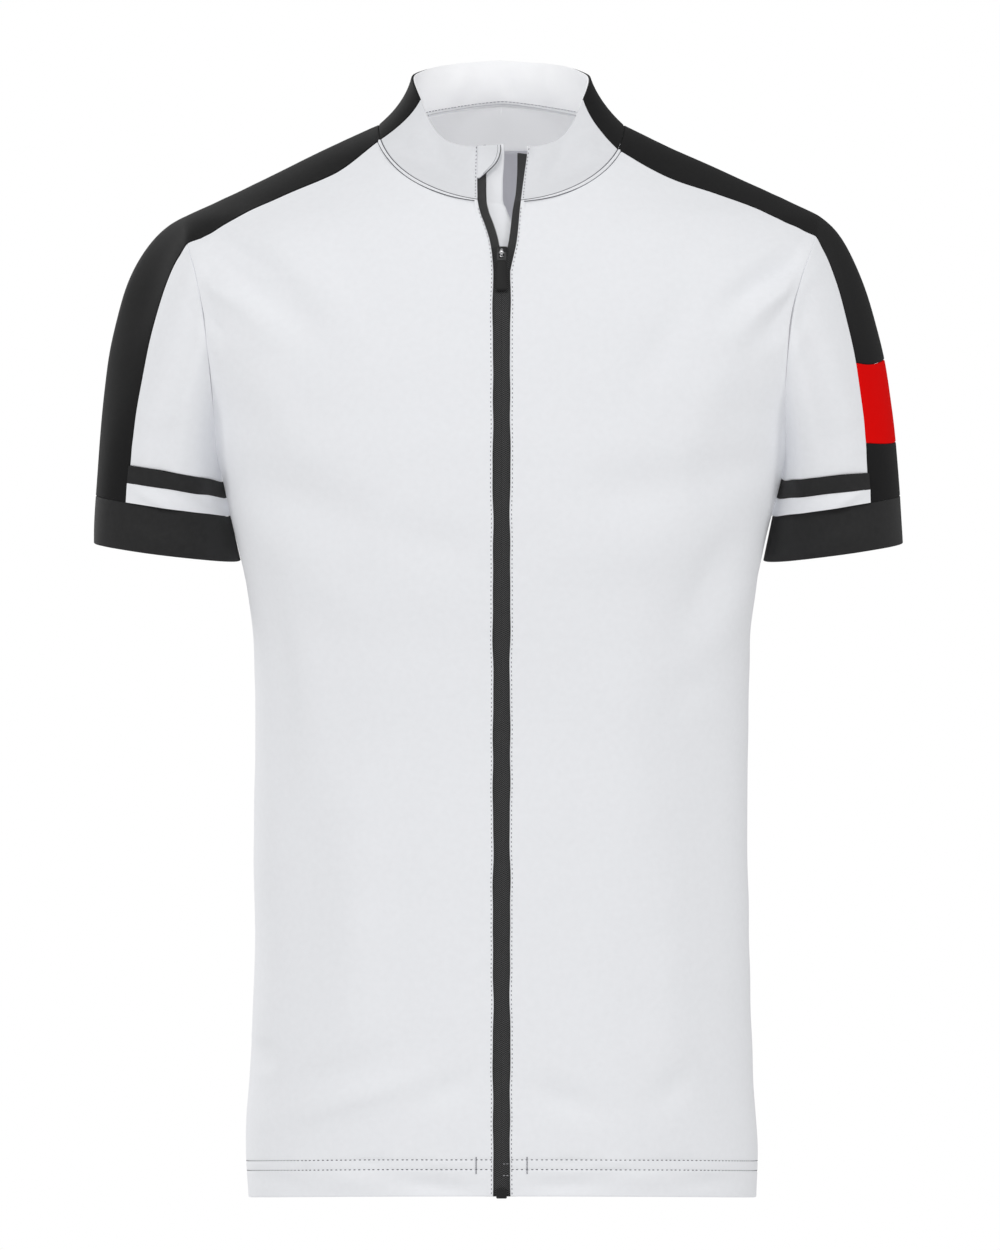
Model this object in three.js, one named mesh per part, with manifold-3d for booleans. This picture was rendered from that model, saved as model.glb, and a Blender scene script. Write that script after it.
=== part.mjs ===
// A short-sleeved, full-zip cycling jersey, filled out as if worn, with nobody in it.
// Millimetres, +Z up, the chest faces -Y, the wearer's left is +X.
// The origin is level with the high shoulder points, on the centre line, between chest and back.
//
// The outer face of the whole garment is worked out once, as one skin of shared points.
// Each cloth piece is the part of that skin inside its own seams, thickened inwards into a wall.
// Everything is sewn, so the only moving piece is the pull tab, which hangs from the slider.

import * as THREE from "three";
import { mergeVertices } from "three/addons/utils/BufferGeometryUtils.js";
import Module from "manifold-3d";

const wasm = await Module();
wasm.setup();

// Driving dimensions
const HEM_Z = -702; // the front and back lengths, from the shoulder point down to the hem
const HEM_LIFT = 9.5; // the front hem is cut this much shorter at the zip
const HEM_DEPTH = 25; // width of the turned-up hem, where the cloth is double
const UNDERARM_Z = -216;
const SHOULDER_SLOPE = 0.466;
const CLOTH = 1.2;
const DOUBLE_CLOTH = 2.2;
const SEAM_GAP = 0.3;
const CUFF_DEPTH = 28;
const INSET_DEPTH = 12;
const BAND_DEPTH = 11.5;
const ZIP_HALF_WIDTH = 5.3;
const TAPE = { thickness: 1.1, under: 5.5, depth: CLOTH + 0.4 };
const GUARD = { thickness: 1, under: 11, reach: 18.5, depth: 3.9 };
const FACING = { thickness: 1, depth: CLOTH + SEAM_GAP, clearOfTape: 1 };
const LABEL = { halfWidth: 22, top: -6, bottom: -54, thickness: 1, clearance: 0.8 };
const SLIDER_Z = -85;
const ACCENT = { start: 0.59, end: 0.91 }; // the red block's seams, as shares of the plain sleeve's length

// Colours of the cloth, the zip and its metal
const COLOURS = {
  white: 0xe6e8ec,
  black: 0x262627,
  red: 0xcf1210,
  label: 0xaeb0b6,
  metal: 0x8d9196,
  rubber: 0x1b1b1c,
};

// Horizontal sections of the trunk, from the back of the neck down to the hem.
// z is the height, half the width at the sides, front and back the depths from the side line,
// frontPower and backPower the roundness: 2 is an ellipse, more is squarer, less is more pointed.
// Above the underarm, half runs on to the shoulder ridge and into the sleeve head.
const TRUNK = [
  { z: 24, half: 42, front: 58, back: 61, frontPower: 1.4, backPower: 2.1 },
  { z: 4.6, half: 83, front: 69, back: 71, frontPower: 1.4, backPower: 1.95 },
  { z: -20, half: 135.8, front: 76, back: 82, frontPower: 1.4, backPower: 1.85 },
  { z: -44, half: 187.3, front: 85, back: 91, frontPower: 1.55, backPower: 1.85 },
  { z: -60, half: 217, front: 91, back: 96, frontPower: 1.8, backPower: 1.95 },
  { z: -77, half: 234, front: 97, back: 101, frontPower: 2.1, backPower: 2.15 },
  { z: -100, half: 244, front: 104, back: 106, frontPower: 2.3, backPower: 2.3 },
  { z: -130, half: 236, front: 111, back: 110, frontPower: 2.4, backPower: 2.4 },
  { z: -160, half: 214, front: 116, back: 112, frontPower: 2.45, backPower: 2.45 },
  { z: -190, half: 193.5, front: 119, back: 112, frontPower: 2.5, backPower: 2.5 },
  { z: -216, half: 187, front: 121, back: 111, frontPower: 2.5, backPower: 2.5 },
  { z: -250, half: 178.8, front: 121, back: 108, frontPower: 2.5, backPower: 2.5 },
  { z: -275, half: 173.2, front: 119.5, back: 106, frontPower: 2.5, backPower: 2.5 },
  { z: -300, half: 168, front: 117, back: 103, frontPower: 2.5, backPower: 2.5 },
  { z: -340, half: 163.5, front: 113, back: 98, frontPower: 2.45, backPower: 2.45 },
  { z: -420, half: 162.3, front: 108, back: 94, frontPower: 2.4, backPower: 2.4 },
  { z: -520, half: 163, front: 109, back: 98, frontPower: 2.4, backPower: 2.4 },
  { z: -620, half: 166.5, front: 112, back: 107, frontPower: 2.4, backPower: 2.4 },
  { z: -670, half: 168.8, front: 114, back: 112, frontPower: 2.4, backPower: 2.4 },
  { z: -702, half: 167.5, front: 114, back: 113, frontPower: 2.4, backPower: 2.4 },
];
const SHOULDER_POINT = TRUNK[1];

// The armhole seam as seen from the front: how far from the centre it lies at each height.
const ARMHOLE = [
  { z: -60, x: 208.5 },
  { z: -77, x: 205 },
  { z: -100, x: 198 },
  { z: -125, x: 193.5 },
  { z: -150, x: 190.5 },
  { z: -175, x: 188.5 },
  { z: -200, x: 187.6 },
  { z: -216, x: 187 },
];
const ARMHOLE_DRAW_REACH = 150; // height above the underarm over which a side's seam is drawn in
const STRIPE_BULGE = 2.5; // how far the stripe's end bows out over the top of the arm

// The neck seam: half its width and the rise or drop from the shoulder point.
const NECK_HALF = 81;
const NECK_DROP = 55.5;
const NECK_RISE = 17.5;
const NECK_FRONT_POWER = 2;
const NECK_BACK_POWER = 1.5;

// The top edge of the collar. angle is 0 at the side, -90 at the front and 90 at the back.
const COLLAR_TOP_HALF = 59;
const COLLAR_TOP_FRONT = 63;
const COLLAR_TOP_BACK = 56;
const COLLAR_TOP = [
  { angle: -90, z: -12 },
  { angle: -70, z: -12.6 },
  { angle: -56, z: -9.5 },
  { angle: -47, z: -4.5 },
  { angle: -39, z: 3 },
  { angle: -31, z: 13 },
  { angle: -25, z: 20.5 },
  { angle: -12, z: 31 },
  { angle: 0, z: 37 },
  { angle: 20, z: 42 },
  { angle: 45, z: 47 },
  { angle: 90, z: 51.5 },
];
const COLLAR_SHIFT = 2; // the top edge's oval lies this much behind the origin
const COLLAR_STRIPE = { front: -25, back: 50 }; // angles of the side piece's seams on the top edge
const COLLAR_HOLLOW = 3.5; // how far the collar's middle draws in towards the neck

// What differs between the wearer's right (-1) and left (+1) sides, as the photo shows them.
// neckZ is where the stripe's front edge meets the neck seam, armZ where it meets the armhole,
// drop how far it lies below the shoulder ridge in between, and cuffAngle its place on the cuff.
// armhole draws the armhole seam in, and cuffX is the sleeve's outermost point.
const SIDES = [
  {
    name: "right", sign: -1, neckZ: -6.5, armZ: -75.5, drop: [21.5, 20, 20.5],
    cuffAngle: 61, cuffX: 269.2, armhole: 0, crown: { x: 0.93, z: -0.37, length: 185 },
  },
  {
    name: "left", sign: 1, neckZ: -13.5, armZ: -70, drop: [24, 20, 17],
    cuffAngle: 63, cuffX: 264.4, armhole: 5, crown: { x: 0.89, z: -0.45, length: 152 },
  },
];
const STRIPE_BACK = { neckTurn: 0.58, armZ: -72, drop: [10, 14, 18], cuffAngle: 58 };

// The sleeve opening, a squarish oval whose inner side is set back behind the trunk's widest line.
const CUFF = {
  outer: { y: 2, z: -270.6 },
  inner: { x: 172.7, y: 18, z: -282 },
  halfDepth: 56,
  power: 2.2,
  dip: 3.2,
};

// Directions in which the sleeve's cloth leaves the armhole and reaches the cuff.
// turn is 0 on top of the arm, where the side's own crown holds, 90 in front and 180 under it.
const SLEEVE_START = [
  { turn: 50, x: 0.6, y: -0.08, z: -0.8, length: 140 },
  { turn: 90, x: 0.55, y: -0.05, z: -0.83, length: 115 },
  { turn: 135, x: 0.42, y: 0.02, z: -0.9, length: 80 },
  { turn: 180, x: -0.21, y: 0.2, z: -0.96, length: 62 },
];
const SLEEVE_END = {
  outer: { x: 0.05, z: -1, length: 190 },
  inner: { x: -0.22, z: -0.97, length: 64 },
};

// The edges of the front opening above the closed zip: height and distance from the zip's line.
// turn is how far the tape turns in from the cloth beside it, and guard the same for the strip behind.
const OPENING = {
  right: [
    { z: -97, x: ZIP_HALF_WIDTH, turn: 0, guard: 2 },
    { z: -89, x: 6.5, turn: 0, guard: 6 },
    { z: -78, x: 9.3, turn: 0, guard: 12 },
    { z: -66, x: 12.6, turn: 2, guard: 13 },
    { z: -50, x: 15.7, turn: 4, guard: 14 },
    { z: -10, x: 15.9, turn: 8, guard: 14 },
  ],
  left: [
    { z: -97, x: ZIP_HALF_WIDTH, turn: 0 },
    { z: -89, x: 7, turn: 4 },
    { z: -76.5, x: 9.7, turn: 16 },
    { z: -52, x: 12.2, turn: 34 },
    { z: -34, x: 14.6, turn: 40 },
    { z: -10, x: 18.6, turn: 40 },
  ],
};

// The flap over the zip's top end: how far it reaches past the collar's edge, down from the collar's top.
const GARAGE = [
  { drop: 0, reach: 17 },
  { drop: 2, reach: 16.8 },
  { drop: 6, reach: 15.3 },
  { drop: 11.2, reach: 12.3 },
  { drop: 17, reach: 6.6 },
  { drop: 22, reach: 1.4 },
];

// The slider and its pull tab, in the plane of the tapes: z runs up the zip, y is the height over them.
const SLIDER = {
  top: 4.4,
  bottom: -4,
  topHalf: 3.8,
  bottomHalf: 3.2,
  low: 0.3,
  high: 2.1,
  corner: 1.2,
  bailHalf: 1.1,
  bailLength: 5.2,
  bailBar: 0.9,
  bailRoom: 1.9,
  bailRoot: 0.5,
};
const PULL = {
  pivotZ: -0.6,
  barRadius: 0.55,
  barInset: 0.3,
  eyeHalf: 1.55,
  eyeLength: 4.1,
  armThickness: 1.2,
  half: 3.15,
  endHalf: 3.5,
  corner: 1.4,
  length: 25.5,
  thickness: 1.8,
  rest: 4, // degrees it leans in from the plane of the zip, so that its end lies on the tapes
};
const ZIP_BOX = { half: 3.4, below: 1.2, above: 4.8, low: 0.3, high: 2 };

// Mesh steps
const COLUMNS = 9; // from the zip or centre back to the side
const LOWER_ROWS = 20; // from the hem fold to the underarm
const NECK_ROWS = 5; // of the rows above the underarm, those that end on the neck seam
const CHEST_ROWS = 6; // and those that end on the zip
const BACK_NECK_ROWS = 4;
const STRIPE_COLUMNS = 5;
const COLLAR_ROWS = 3;
const SLEEVE_ROWS = { aboveBlock: 4, block: 3, belowBlock: 1 };
const GARAGE_COLUMNS = 3;
const ARMHOLE_SPACING = 1.15; // power that draws the rows together at the underarm
const LENGTH_STEPS = 60; // steps in which a line of the sleeve is measured

const UPPER_ROWS = CHEST_ROWS + NECK_ROWS;

// Smooth curve through a table: the value of a column at a key, with no overshoot between rows.
function along(table, key, column, at) {
  const rising = table[table.length - 1][key] > table[0][key] ? 1 : -1;
  const keys = table.map((row) => row[key] * rising);
  const values = table.map((row) => row[column]);
  const k = THREE.MathUtils.clamp(at * rising, keys[0], keys[keys.length - 1]);
  let i = 0;
  while (i < keys.length - 2 && k > keys[i + 1]) i += 1;
  const slope = (j) => (values[j + 1] - values[j]) / (keys[j + 1] - keys[j]);
  const tangent = (j) => {
    if (j === 0) return slope(0);
    if (j === keys.length - 1) return slope(j - 1);
    const before = slope(j - 1);
    const after = slope(j);
    return before * after <= 0 ? 0 : (2 * before * after) / (before + after);
  };
  const step = keys[i + 1] - keys[i];
  const t = (k - keys[i]) / step;
  return hermite(values[i], tangent(i) * step, values[i + 1], tangent(i + 1) * step, t);
}

function hermite(start, startSlope, end, endSlope, t) {
  const u = 1 - t;
  return (
    start * (1 + 2 * t) * u * u + startSlope * t * u * u + end * t * t * (3 - 2 * t) - endSlope * t * t * u
  );
}

const lerp = THREE.MathUtils.lerp;
const clamp = THREE.MathUtils.clamp;
const radians = THREE.MathUtils.degToRad;
const range = (count) => Array.from({ length: count + 1 }, (_, i) => i / count);
const mirror = (p, sign) => new THREE.Vector3(p.x * sign, p.y, p.z);
const mirrored = (grid, sign) => grid.map((line) => line.map((p) => mirror(p, sign)));

// The height of the shoulder ridge at a distance from the centre line.
const ridgeZ = (x) => SHOULDER_POINT.z - (x - SHOULDER_POINT.half) * SHOULDER_SLOPE;

function section(z) {
  const row = {};
  for (const column of ["half", "front", "back", "frontPower", "backPower"]) {
    row[column] = along(TRUNK, "z", column, z);
  }
  return row;
}

// A point of the trunk at a height, turned from the side (0) towards the centre line (a quarter turn).
function trunkPoint(turn, z, face) {
  const s = section(z);
  const power = face < 0 ? s.frontPower : s.backPower;
  const depth = face < 0 ? s.front : s.back;
  const x = s.half * Math.max(0, Math.cos(turn)) ** (2 / power);
  const y = face * depth * Math.max(0, Math.sin(turn)) ** (2 / power);
  return new THREE.Vector3(x, y, z);
}

// The turn at which a trunk section reaches a given distance from the centre line.
function turnAt(x, z, face) {
  const s = section(z);
  const power = face < 0 ? s.frontPower : s.backPower;
  return Math.acos(Math.min(1, Math.max(0, x / s.half) ** (power / 2)));
}

// The height of the shoulder above a point of the plan.
function roofHeight(x, y) {
  let low = -200;
  let high = ridgeZ(x);
  for (let i = 0; i < 50; i += 1) {
    const z = (low + high) / 2;
    const s = section(z);
    const power = y < 0 ? s.frontPower : s.backPower;
    const depth = y < 0 ? s.front : s.back;
    const reach = (x / s.half) ** power + (Math.abs(y) / depth) ** power;
    if (reach > 1) high = z;
    else low = z;
  }
  return (low + high) / 2;
}

const onTrunk = (x, z, face) => trunkPoint(turnAt(x, z, face), z, face);

// The neck seam, from the centre front (-1) over the shoulder point (0) to the centre back (1).
function neckSeam(turn) {
  const angle = (Math.abs(turn) * Math.PI) / 2;
  const shoulderZ = ridgeZ(NECK_HALF);
  if (turn < 0) {
    const x = NECK_HALF * Math.cos(angle) ** (2 / NECK_FRONT_POWER);
    const z = shoulderZ - NECK_DROP * Math.sin(angle) ** (2 / NECK_FRONT_POWER);
    return onTrunk(x, z, -1);
  }
  const share = Math.max(0, Math.cos(angle));
  return onTrunk(NECK_HALF * share, shoulderZ + NECK_RISE * (1 - share ** NECK_BACK_POWER), 1);
}

// The turn of the front neck seam at a given height or at a given distance from the centre line.
function neckTurnAtZ(z) {
  const share = (ridgeZ(NECK_HALF) - z) / NECK_DROP;
  return (-Math.asin(share ** (NECK_FRONT_POWER / 2)) * 2) / Math.PI;
}
function neckTurnAtX(x) {
  return (-Math.acos((x / NECK_HALF) ** (NECK_FRONT_POWER / 2)) * 2) / Math.PI;
}

const openingAt = (side, z, column) => along(OPENING[side.name], "z", column, z);

// The armhole seam's distance from the centre line.
function armholeX(side, z) {
  const share = clamp((z - UNDERARM_Z) / ARMHOLE_DRAW_REACH, 0, 1);
  return along(ARMHOLE, "z", "x", z) - side.armhole * Math.sin(Math.PI * share);
}

// Hem height: the front is lifted towards the zip.
function hemZ(turn, face) {
  return face < 0 ? HEM_Z + HEM_LIFT * Math.sin(turn) ** 2 : HEM_Z;
}

// A four-sided grid of (turn, z) pairs, blended from its edges.
function coons(bottom, top, left, right) {
  const columns = bottom.length - 1;
  const rows = left.length - 1;
  const grid = [];
  for (let j = 0; j <= rows; j += 1) {
    const v = j / rows;
    const line = [];
    for (let i = 0; i <= columns; i += 1) {
      const u = i / columns;
      line.push(
        [0, 1].map(
          (k) =>
            (1 - v) * bottom[i][k] + v * top[i][k] + (1 - u) * left[j][k] + u * right[j][k] -
            (1 - u) * (1 - v) * bottom[0][k] - u * (1 - v) * bottom[columns][k] -
            (1 - u) * v * top[0][k] - u * v * top[columns][k],
        ),
      );
    }
    grid.push(line);
  }
  return grid;
}

// The shoulder stripe's edge on the trunk, from the neck seam to the armhole, as trunk points.
function stripeEdge(side, face) {
  const spec = face < 0 ? side : STRIPE_BACK;
  const neckTurn = face < 0 ? neckTurnAtZ(side.neckZ) : STRIPE_BACK.neckTurn;
  const start = neckSeam(neckTurn);
  const end = onTrunk(armholeX(side, spec.armZ), spec.armZ, face);
  const drops = [
    { at: 0, drop: ridgeZ(start.x) - start.z },
    { at: 0.25, drop: spec.drop[0] },
    { at: 0.5, drop: spec.drop[1] },
    { at: 0.75, drop: spec.drop[2] },
    { at: 1, drop: ridgeZ(end.x) - end.z },
  ];
  const points = range(COLUMNS).map((k) => {
    const x = lerp(start.x, end.x, k);
    return onTrunk(x, ridgeZ(x) - along(drops, "at", "drop", k), face);
  });
  points[0] = start;
  points[COLUMNS] = end;
  return { points, neckTurn, armZ: spec.armZ };
}

// The armhole's points from the underarm up, closer together near its rounded bottom.
function armholeLine(side, armZ, face) {
  return range(UPPER_ROWS).map((k) => {
    if (k === 0) return onTrunk(section(UNDERARM_Z).half, UNDERARM_Z, face);
    const z = lerp(UNDERARM_Z, armZ, 1 - Math.cos((k * Math.PI) / 2) ** ARMHOLE_SPACING);
    return onTrunk(armholeX(side, z), z, face);
  });
}

// Half of the front or back: rows from the hem up to the stripe, columns from the centre to the side.
function trunkHalf(side, face) {
  const edge = stripeEdge(side, face);
  const middleTop = face < 0 ? neckSeamAtOpening(side) : { turn: 1, z: neckSeam(1).z };
  const neckRows = face < 0 ? NECK_ROWS : BACK_NECK_ROWS;
  const middleRows = UPPER_ROWS - neckRows;
  const centre = (z) => (face < 0 ? [turnAt(openingAt(side, z, "x"), z, face), z] : [Math.PI / 2, z]);

  const left = [];
  const right = [];
  const foldTop = HEM_Z + HEM_DEPTH;
  const lower = [0, ...range(LOWER_ROWS).map((k) => lerp(foldTop, UNDERARM_Z, k) - HEM_Z)];
  for (const rise of lower) {
    const z = HEM_Z + rise;
    const lift = face < 0 ? HEM_LIFT * (1 - rise / (UNDERARM_Z - HEM_Z)) : 0;
    left.push(centre(z + lift));
    right.push([0, z]);
  }
  const armhole = armholeLine(side, edge.armZ, face);
  for (let j = 1; j <= UPPER_ROWS; j += 1) {
    if (j <= middleRows) {
      left.push(centre(lerp(UNDERARM_Z, middleTop.z, j / middleRows)));
    } else {
      const seam = neckSeam(lerp(middleTop.turn, edge.neckTurn, (j - middleRows) / neckRows));
      left.push([turnAt(seam.x, seam.z, face), seam.z]);
    }
    right.push([turnAt(armhole[j].x, armhole[j].z, face), armhole[j].z]);
  }
  const top = edge.points.map((p) => [turnAt(p.x, p.z, face), p.z]);
  const bottom = range(COLUMNS).map((u) => {
    const turn = lerp(left[0][0], 0, u);
    return [turn, hemZ(turn, face)];
  });
  left[0] = bottom[0];

  // The rows up to the underarm are level, and only those above it bend to the stripe's edge.
  const level = lower.length - 1;
  const middle = range(COLUMNS).map((u) => [lerp(left[level][0], 0, u), UNDERARM_Z]);
  const grid = [
    ...coons(bottom, middle, left.slice(0, level + 1), right.slice(0, level + 1)),
    ...coons(middle, top, left.slice(level), right.slice(level)).slice(1),
  ];
  const points = grid.map((line) => line.map(([turn, z]) => trunkPoint(turn, z, face)));
  return { grid: points, edge, middleRows, level };
}

function neckSeamAtOpening(side) {
  let turn = -0.9;
  for (let i = 0; i < 20; i += 1) turn = neckTurnAtX(openingAt(side, neckSeam(turn).z, "x"));
  return { turn, z: neckSeam(turn).z };
}

// The stripe over the shoulder: rows from front to back, columns from the neck to the armhole.
function shoulderGrid(front, back) {
  const neck = range(STRIPE_COLUMNS).map((w) => neckSeam(lerp(front.neckTurn, back.neckTurn, w)));
  const a = front.points[COLUMNS];
  const b = back.points[COLUMNS];
  const arm = range(STRIPE_COLUMNS).map((w) => {
    const y = lerp(a.y, b.y, w);
    const x = lerp(a.x, b.x, w) + STRIPE_BULGE * Math.sin(w * Math.PI);
    return new THREE.Vector3(x, y, roofHeight(x, y));
  });
  arm[0] = a;
  arm[STRIPE_COLUMNS] = b;
  const plan = (points) => points.map((p) => [p.x, p.y]);
  const grid = coons(plan(front.points), plan(back.points), plan(neck), plan(arm));
  return grid.map((line, j) =>
    line.map(([x, y], i) => {
      if (j === 0) return front.points[i];
      if (j === STRIPE_COLUMNS) return back.points[i];
      if (i === 0) return neck[j];
      if (i === COLUMNS) return arm[j];
      return new THREE.Vector3(x, y, roofHeight(x, y));
    }),
  );
}

// The cuff's edge at a turn: 0 outside, 90 in front, 180 inside, 270 behind.
function cuffPoint(side, turn) {
  const c = Math.cos(radians(turn));
  const s = Math.sin(radians(turn));
  const across = (Math.sign(c) * Math.abs(c) ** (2 / CUFF.power) + 1) / 2;
  const deep = Math.sign(s) * Math.abs(s) ** (2 / CUFF.power);
  return new THREE.Vector3(
    lerp(CUFF.inner.x, side.cuffX, across),
    lerp(CUFF.inner.y, CUFF.outer.y, across) - CUFF.halfDepth * deep,
    lerp(CUFF.inner.z, CUFF.outer.z, across) - CUFF.dip * Math.max(0, deep),
  );
}

// The direction and pull with which the sleeve's cloth leaves the armhole at a turn.
function sleeveStart(side, turn) {
  const fromTop = turn > 180 ? Math.abs(360 - turn) : turn;
  const face = turn > 180 && turn < 360 ? -1 : 1;
  const table = [{ turn: 0, y: 0, ...side.crown }, ...SLEEVE_START];
  const value = (column) => along(table, "turn", column, fromTop);
  return new THREE.Vector3(value("x"), value("y") * face, value("z")).multiplyScalar(value("length"));
}

// The direction and pull with which it reaches the cuff.
function sleeveEnd(turn) {
  const inward = (1 - Math.cos(radians(turn))) / 2;
  const value = (column) => lerp(SLEEVE_END.outer[column], SLEEVE_END.inner[column], inward);
  return new THREE.Vector3(value("x"), 0, value("z")).multiplyScalar(value("length"));
}

// The rows of the plain sleeve, as shares of its length, with seams at the block's two ends.
function plainRows() {
  const above = range(SLEEVE_ROWS.aboveBlock).map((k) => lerp(0, ACCENT.start, k));
  const block = range(SLEEVE_ROWS.block).map((k) => lerp(ACCENT.start, ACCENT.end, k));
  const below = range(SLEEVE_ROWS.belowBlock).map((k) => lerp(ACCENT.end, 1, k));
  return [...above, ...block.slice(1), ...below.slice(1)];
}

// The sleeve: one line for each point of the armhole, from the front edge of the stripe, under the arm,
// and back over the top. Rows are the armhole, the plain part, the band, the inset and the cuff.
function sleeveGrid(side, armhole, backAngle) {
  const count = armhole.length;
  const under = UPPER_ROWS;
  const behind = 2 * UPPER_ROWS;
  const frontAngle = side.cuffAngle;
  return armhole.map((start, i) => {
    let turn;
    if (i <= under) turn = lerp(frontAngle, 180, i / under);
    else if (i <= behind) turn = lerp(180, 360 - backAngle, (i - under) / (behind - under));
    else turn = lerp(360 - backAngle, 360 + frontAngle, (i - behind) / (count - behind));
    const end = cuffPoint(side, turn);
    const d0 = sleeveStart(side, turn);
    const d1 = sleeveEnd(turn);
    const at = (t) =>
      new THREE.Vector3(
        hermite(start.x, d0.x, end.x, d1.x, t),
        hermite(start.y, d0.y, end.y, d1.y, t),
        hermite(start.z, d0.z, end.z, d1.z, t),
      );
    const seams = seamParameters(at);
    const plain = plainRows().map((k) => seams[0] * k);
    return [...plain, seams[1], seams[2], (seams[2] + 1) / 2, 1].map(at);
  });
}

// Where the band, the inset and the cuff begin along one line of the sleeve, measured up from the edge.
function seamParameters(at) {
  const rises = [CUFF_DEPTH + INSET_DEPTH + BAND_DEPTH, CUFF_DEPTH + INSET_DEPTH, CUFF_DEPTH];
  return rises.map((rise) => {
    let length = 0;
    for (let k = LENGTH_STEPS; k > 0; k -= 1) {
      const step = at(k / LENGTH_STEPS).distanceTo(at((k - 1) / LENGTH_STEPS));
      if (length + step >= rise) return (k - (rise - length) / step) / LENGTH_STEPS;
      length += step;
    }
    throw new Error("the sleeve is shorter than its bands");
  });
}

// The collar's upright lines, one for each point of the neck seam.
function collarLine(base, turn, stripeTurn, backTurn) {
  const turns = [
    { turn: -1, angle: -90 },
    { turn: stripeTurn, angle: COLLAR_STRIPE.front },
    { turn: 0, angle: 0 },
    { turn: backTurn, angle: COLLAR_STRIPE.back },
    { turn: 1, angle: 90 },
  ];
  const angle = along(turns, "turn", "angle", turn);
  const depth = angle < 0 ? COLLAR_TOP_FRONT : COLLAR_TOP_BACK;
  const top = new THREE.Vector3(
    COLLAR_TOP_HALF * Math.cos(radians(angle)),
    depth * Math.sin(radians(angle)) + COLLAR_SHIFT,
    along(COLLAR_TOP, "angle", "z", angle),
  );
  const middle = base.clone().lerp(top, 0.5);
  const inward = new THREE.Vector3(-middle.x, -middle.y, 0).normalize().multiplyScalar(COLLAR_HOLLOW);
  return range(COLLAR_ROWS).map((t) =>
    base
      .clone()
      .lerp(top, t)
      .addScaledVector(inward, 4 * t * (1 - t)),
  );
}

// The skin: shared points, and the quads of each named piece.
const skin = { points: [], index: new Map(), quads: new Map() };

function pointId(p) {
  const key = [p.x, p.y, p.z].map((value) => Math.round(value * 1000)).join(",");
  if (!skin.index.has(key)) {
    skin.index.set(key, skin.points.length);
    skin.points.push(p.clone());
  }
  return skin.index.get(key);
}

// Adds a grid of points to a piece. Where flip is true its columns run the other way round.
function addGrid(piece, grid, flip) {
  if (!skin.quads.has(piece)) skin.quads.set(piece, []);
  const ids = grid.map((line) => line.map(pointId));
  for (let j = 0; j + 1 < ids.length; j += 1) {
    for (let i = 0; i + 1 < ids[j].length; i += 1) {
      const quad = [ids[j][i], ids[j][i + 1], ids[j + 1][i + 1], ids[j + 1][i]];
      skin.quads.get(piece).push(flip ? quad.reverse() : quad);
    }
  }
}

const slice = (grid, from, to) => grid.slice(from, to + 1);

// Builds one side of the garment into the skin, and returns what the other pieces need.
function addSide(side) {
  const { sign, name } = side;
  const front = trunkHalf(side, -1);
  const back = trunkHalf(side, 1);
  const shoulder = shoulderGrid(front.edge, back.edge);
  const put = (piece, grid, flip) => addGrid(piece, mirrored(grid, sign), sign > 0 ? flip : !flip);

  put(`front_${name}`, front.grid, false);
  put("back", back.grid, true);
  put(`stripe_${name}`, shoulder, false);

  // Round the armhole from the stripe's front edge, down, under, up the back and over the top.
  const armhole = [
    ...front.grid.slice(front.level).map((line) => line[COLUMNS]).reverse(),
    ...back.grid.slice(back.level + 1).map((line) => line[COLUMNS]),
    ...shoulder.slice(1, -1).map((line) => line[COLUMNS]).reverse(),
  ];
  const lines = sleeveGrid(side, armhole, STRIPE_BACK.cuffAngle);
  lines.push(lines[0]);
  const behind = 2 * UPPER_ROWS;
  const rows = lines[0].map((_, j) => lines.map((line) => line[j]));
  const part = (piece, fromRow, toRow, fromLine, toLine) =>
    put(
      piece,
      rows.slice(fromRow, toRow + 1).map((line) => slice(line, fromLine, toLine)),
      false,
    );
  const blockRow = SLEEVE_ROWS.aboveBlock;
  const blockEnd = blockRow + SLEEVE_ROWS.block;
  const bandRow = blockEnd + SLEEVE_ROWS.belowBlock;
  const last = lines.length - 1;
  part(`sleeve_${name}`, 0, bandRow, 0, behind);
  part(`band_${name}`, bandRow, bandRow + 1, 0, behind);
  part(`inset_${name}`, bandRow + 1, bandRow + 2, 0, behind);
  part(`cuff_${name}`, bandRow + 2, bandRow + 4, 0, last);
  if (sign > 0) {
    part(`stripe_${name}`, 0, blockRow, behind, last);
    part("accent_block", blockRow, blockEnd, behind, last);
    part("stripe_left_lower", blockEnd, bandRow + 2, behind, last);
  } else {
    part(`stripe_${name}`, 0, bandRow + 2, behind, last);
  }

  // The neck seam from the zip to the centre back, and the collar on it.
  const opening = neckSeamAtOpening(side);
  const seam = [
    ...front.grid.slice(front.level + front.middleRows).map((line) => line[0]),
    ...shoulder.slice(1, -1).map((line) => line[0]),
    ...back.grid.slice(back.level + back.middleRows).map((line) => line[0]).reverse(),
  ];
  const turns = [
    ...range(NECK_ROWS).map((k) => lerp(opening.turn, front.edge.neckTurn, k)),
    ...range(STRIPE_COLUMNS).map((k) => lerp(front.edge.neckTurn, back.edge.neckTurn, k)).slice(1, -1),
    ...range(BACK_NECK_ROWS).map((k) => lerp(back.edge.neckTurn, 1, k)),
  ];
  const collar = seam.map((base, i) => collarLine(base, turns[i], front.edge.neckTurn, back.edge.neckTurn));
  collar[0] = collar[0].map((p) => new THREE.Vector3(openingAt(side, p.z, "x"), p.y, p.z));
  collar[0][0] = seam[0];
  const collarRows = collar[0].map((_, j) => collar.map((line) => line[j]));
  const cut = (from, to) => collarRows.map((line) => slice(line, from, to));
  const sideEnd = NECK_ROWS + STRIPE_COLUMNS;
  put(`collar_front_${name}`, cut(0, NECK_ROWS), false);
  put(`collar_side_${name}`, cut(NECK_ROWS, sideEnd), false);
  put("collar_back", cut(sideEnd, collar.length - 1), false);
  return { side, front, back, collarRows };
}

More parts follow.
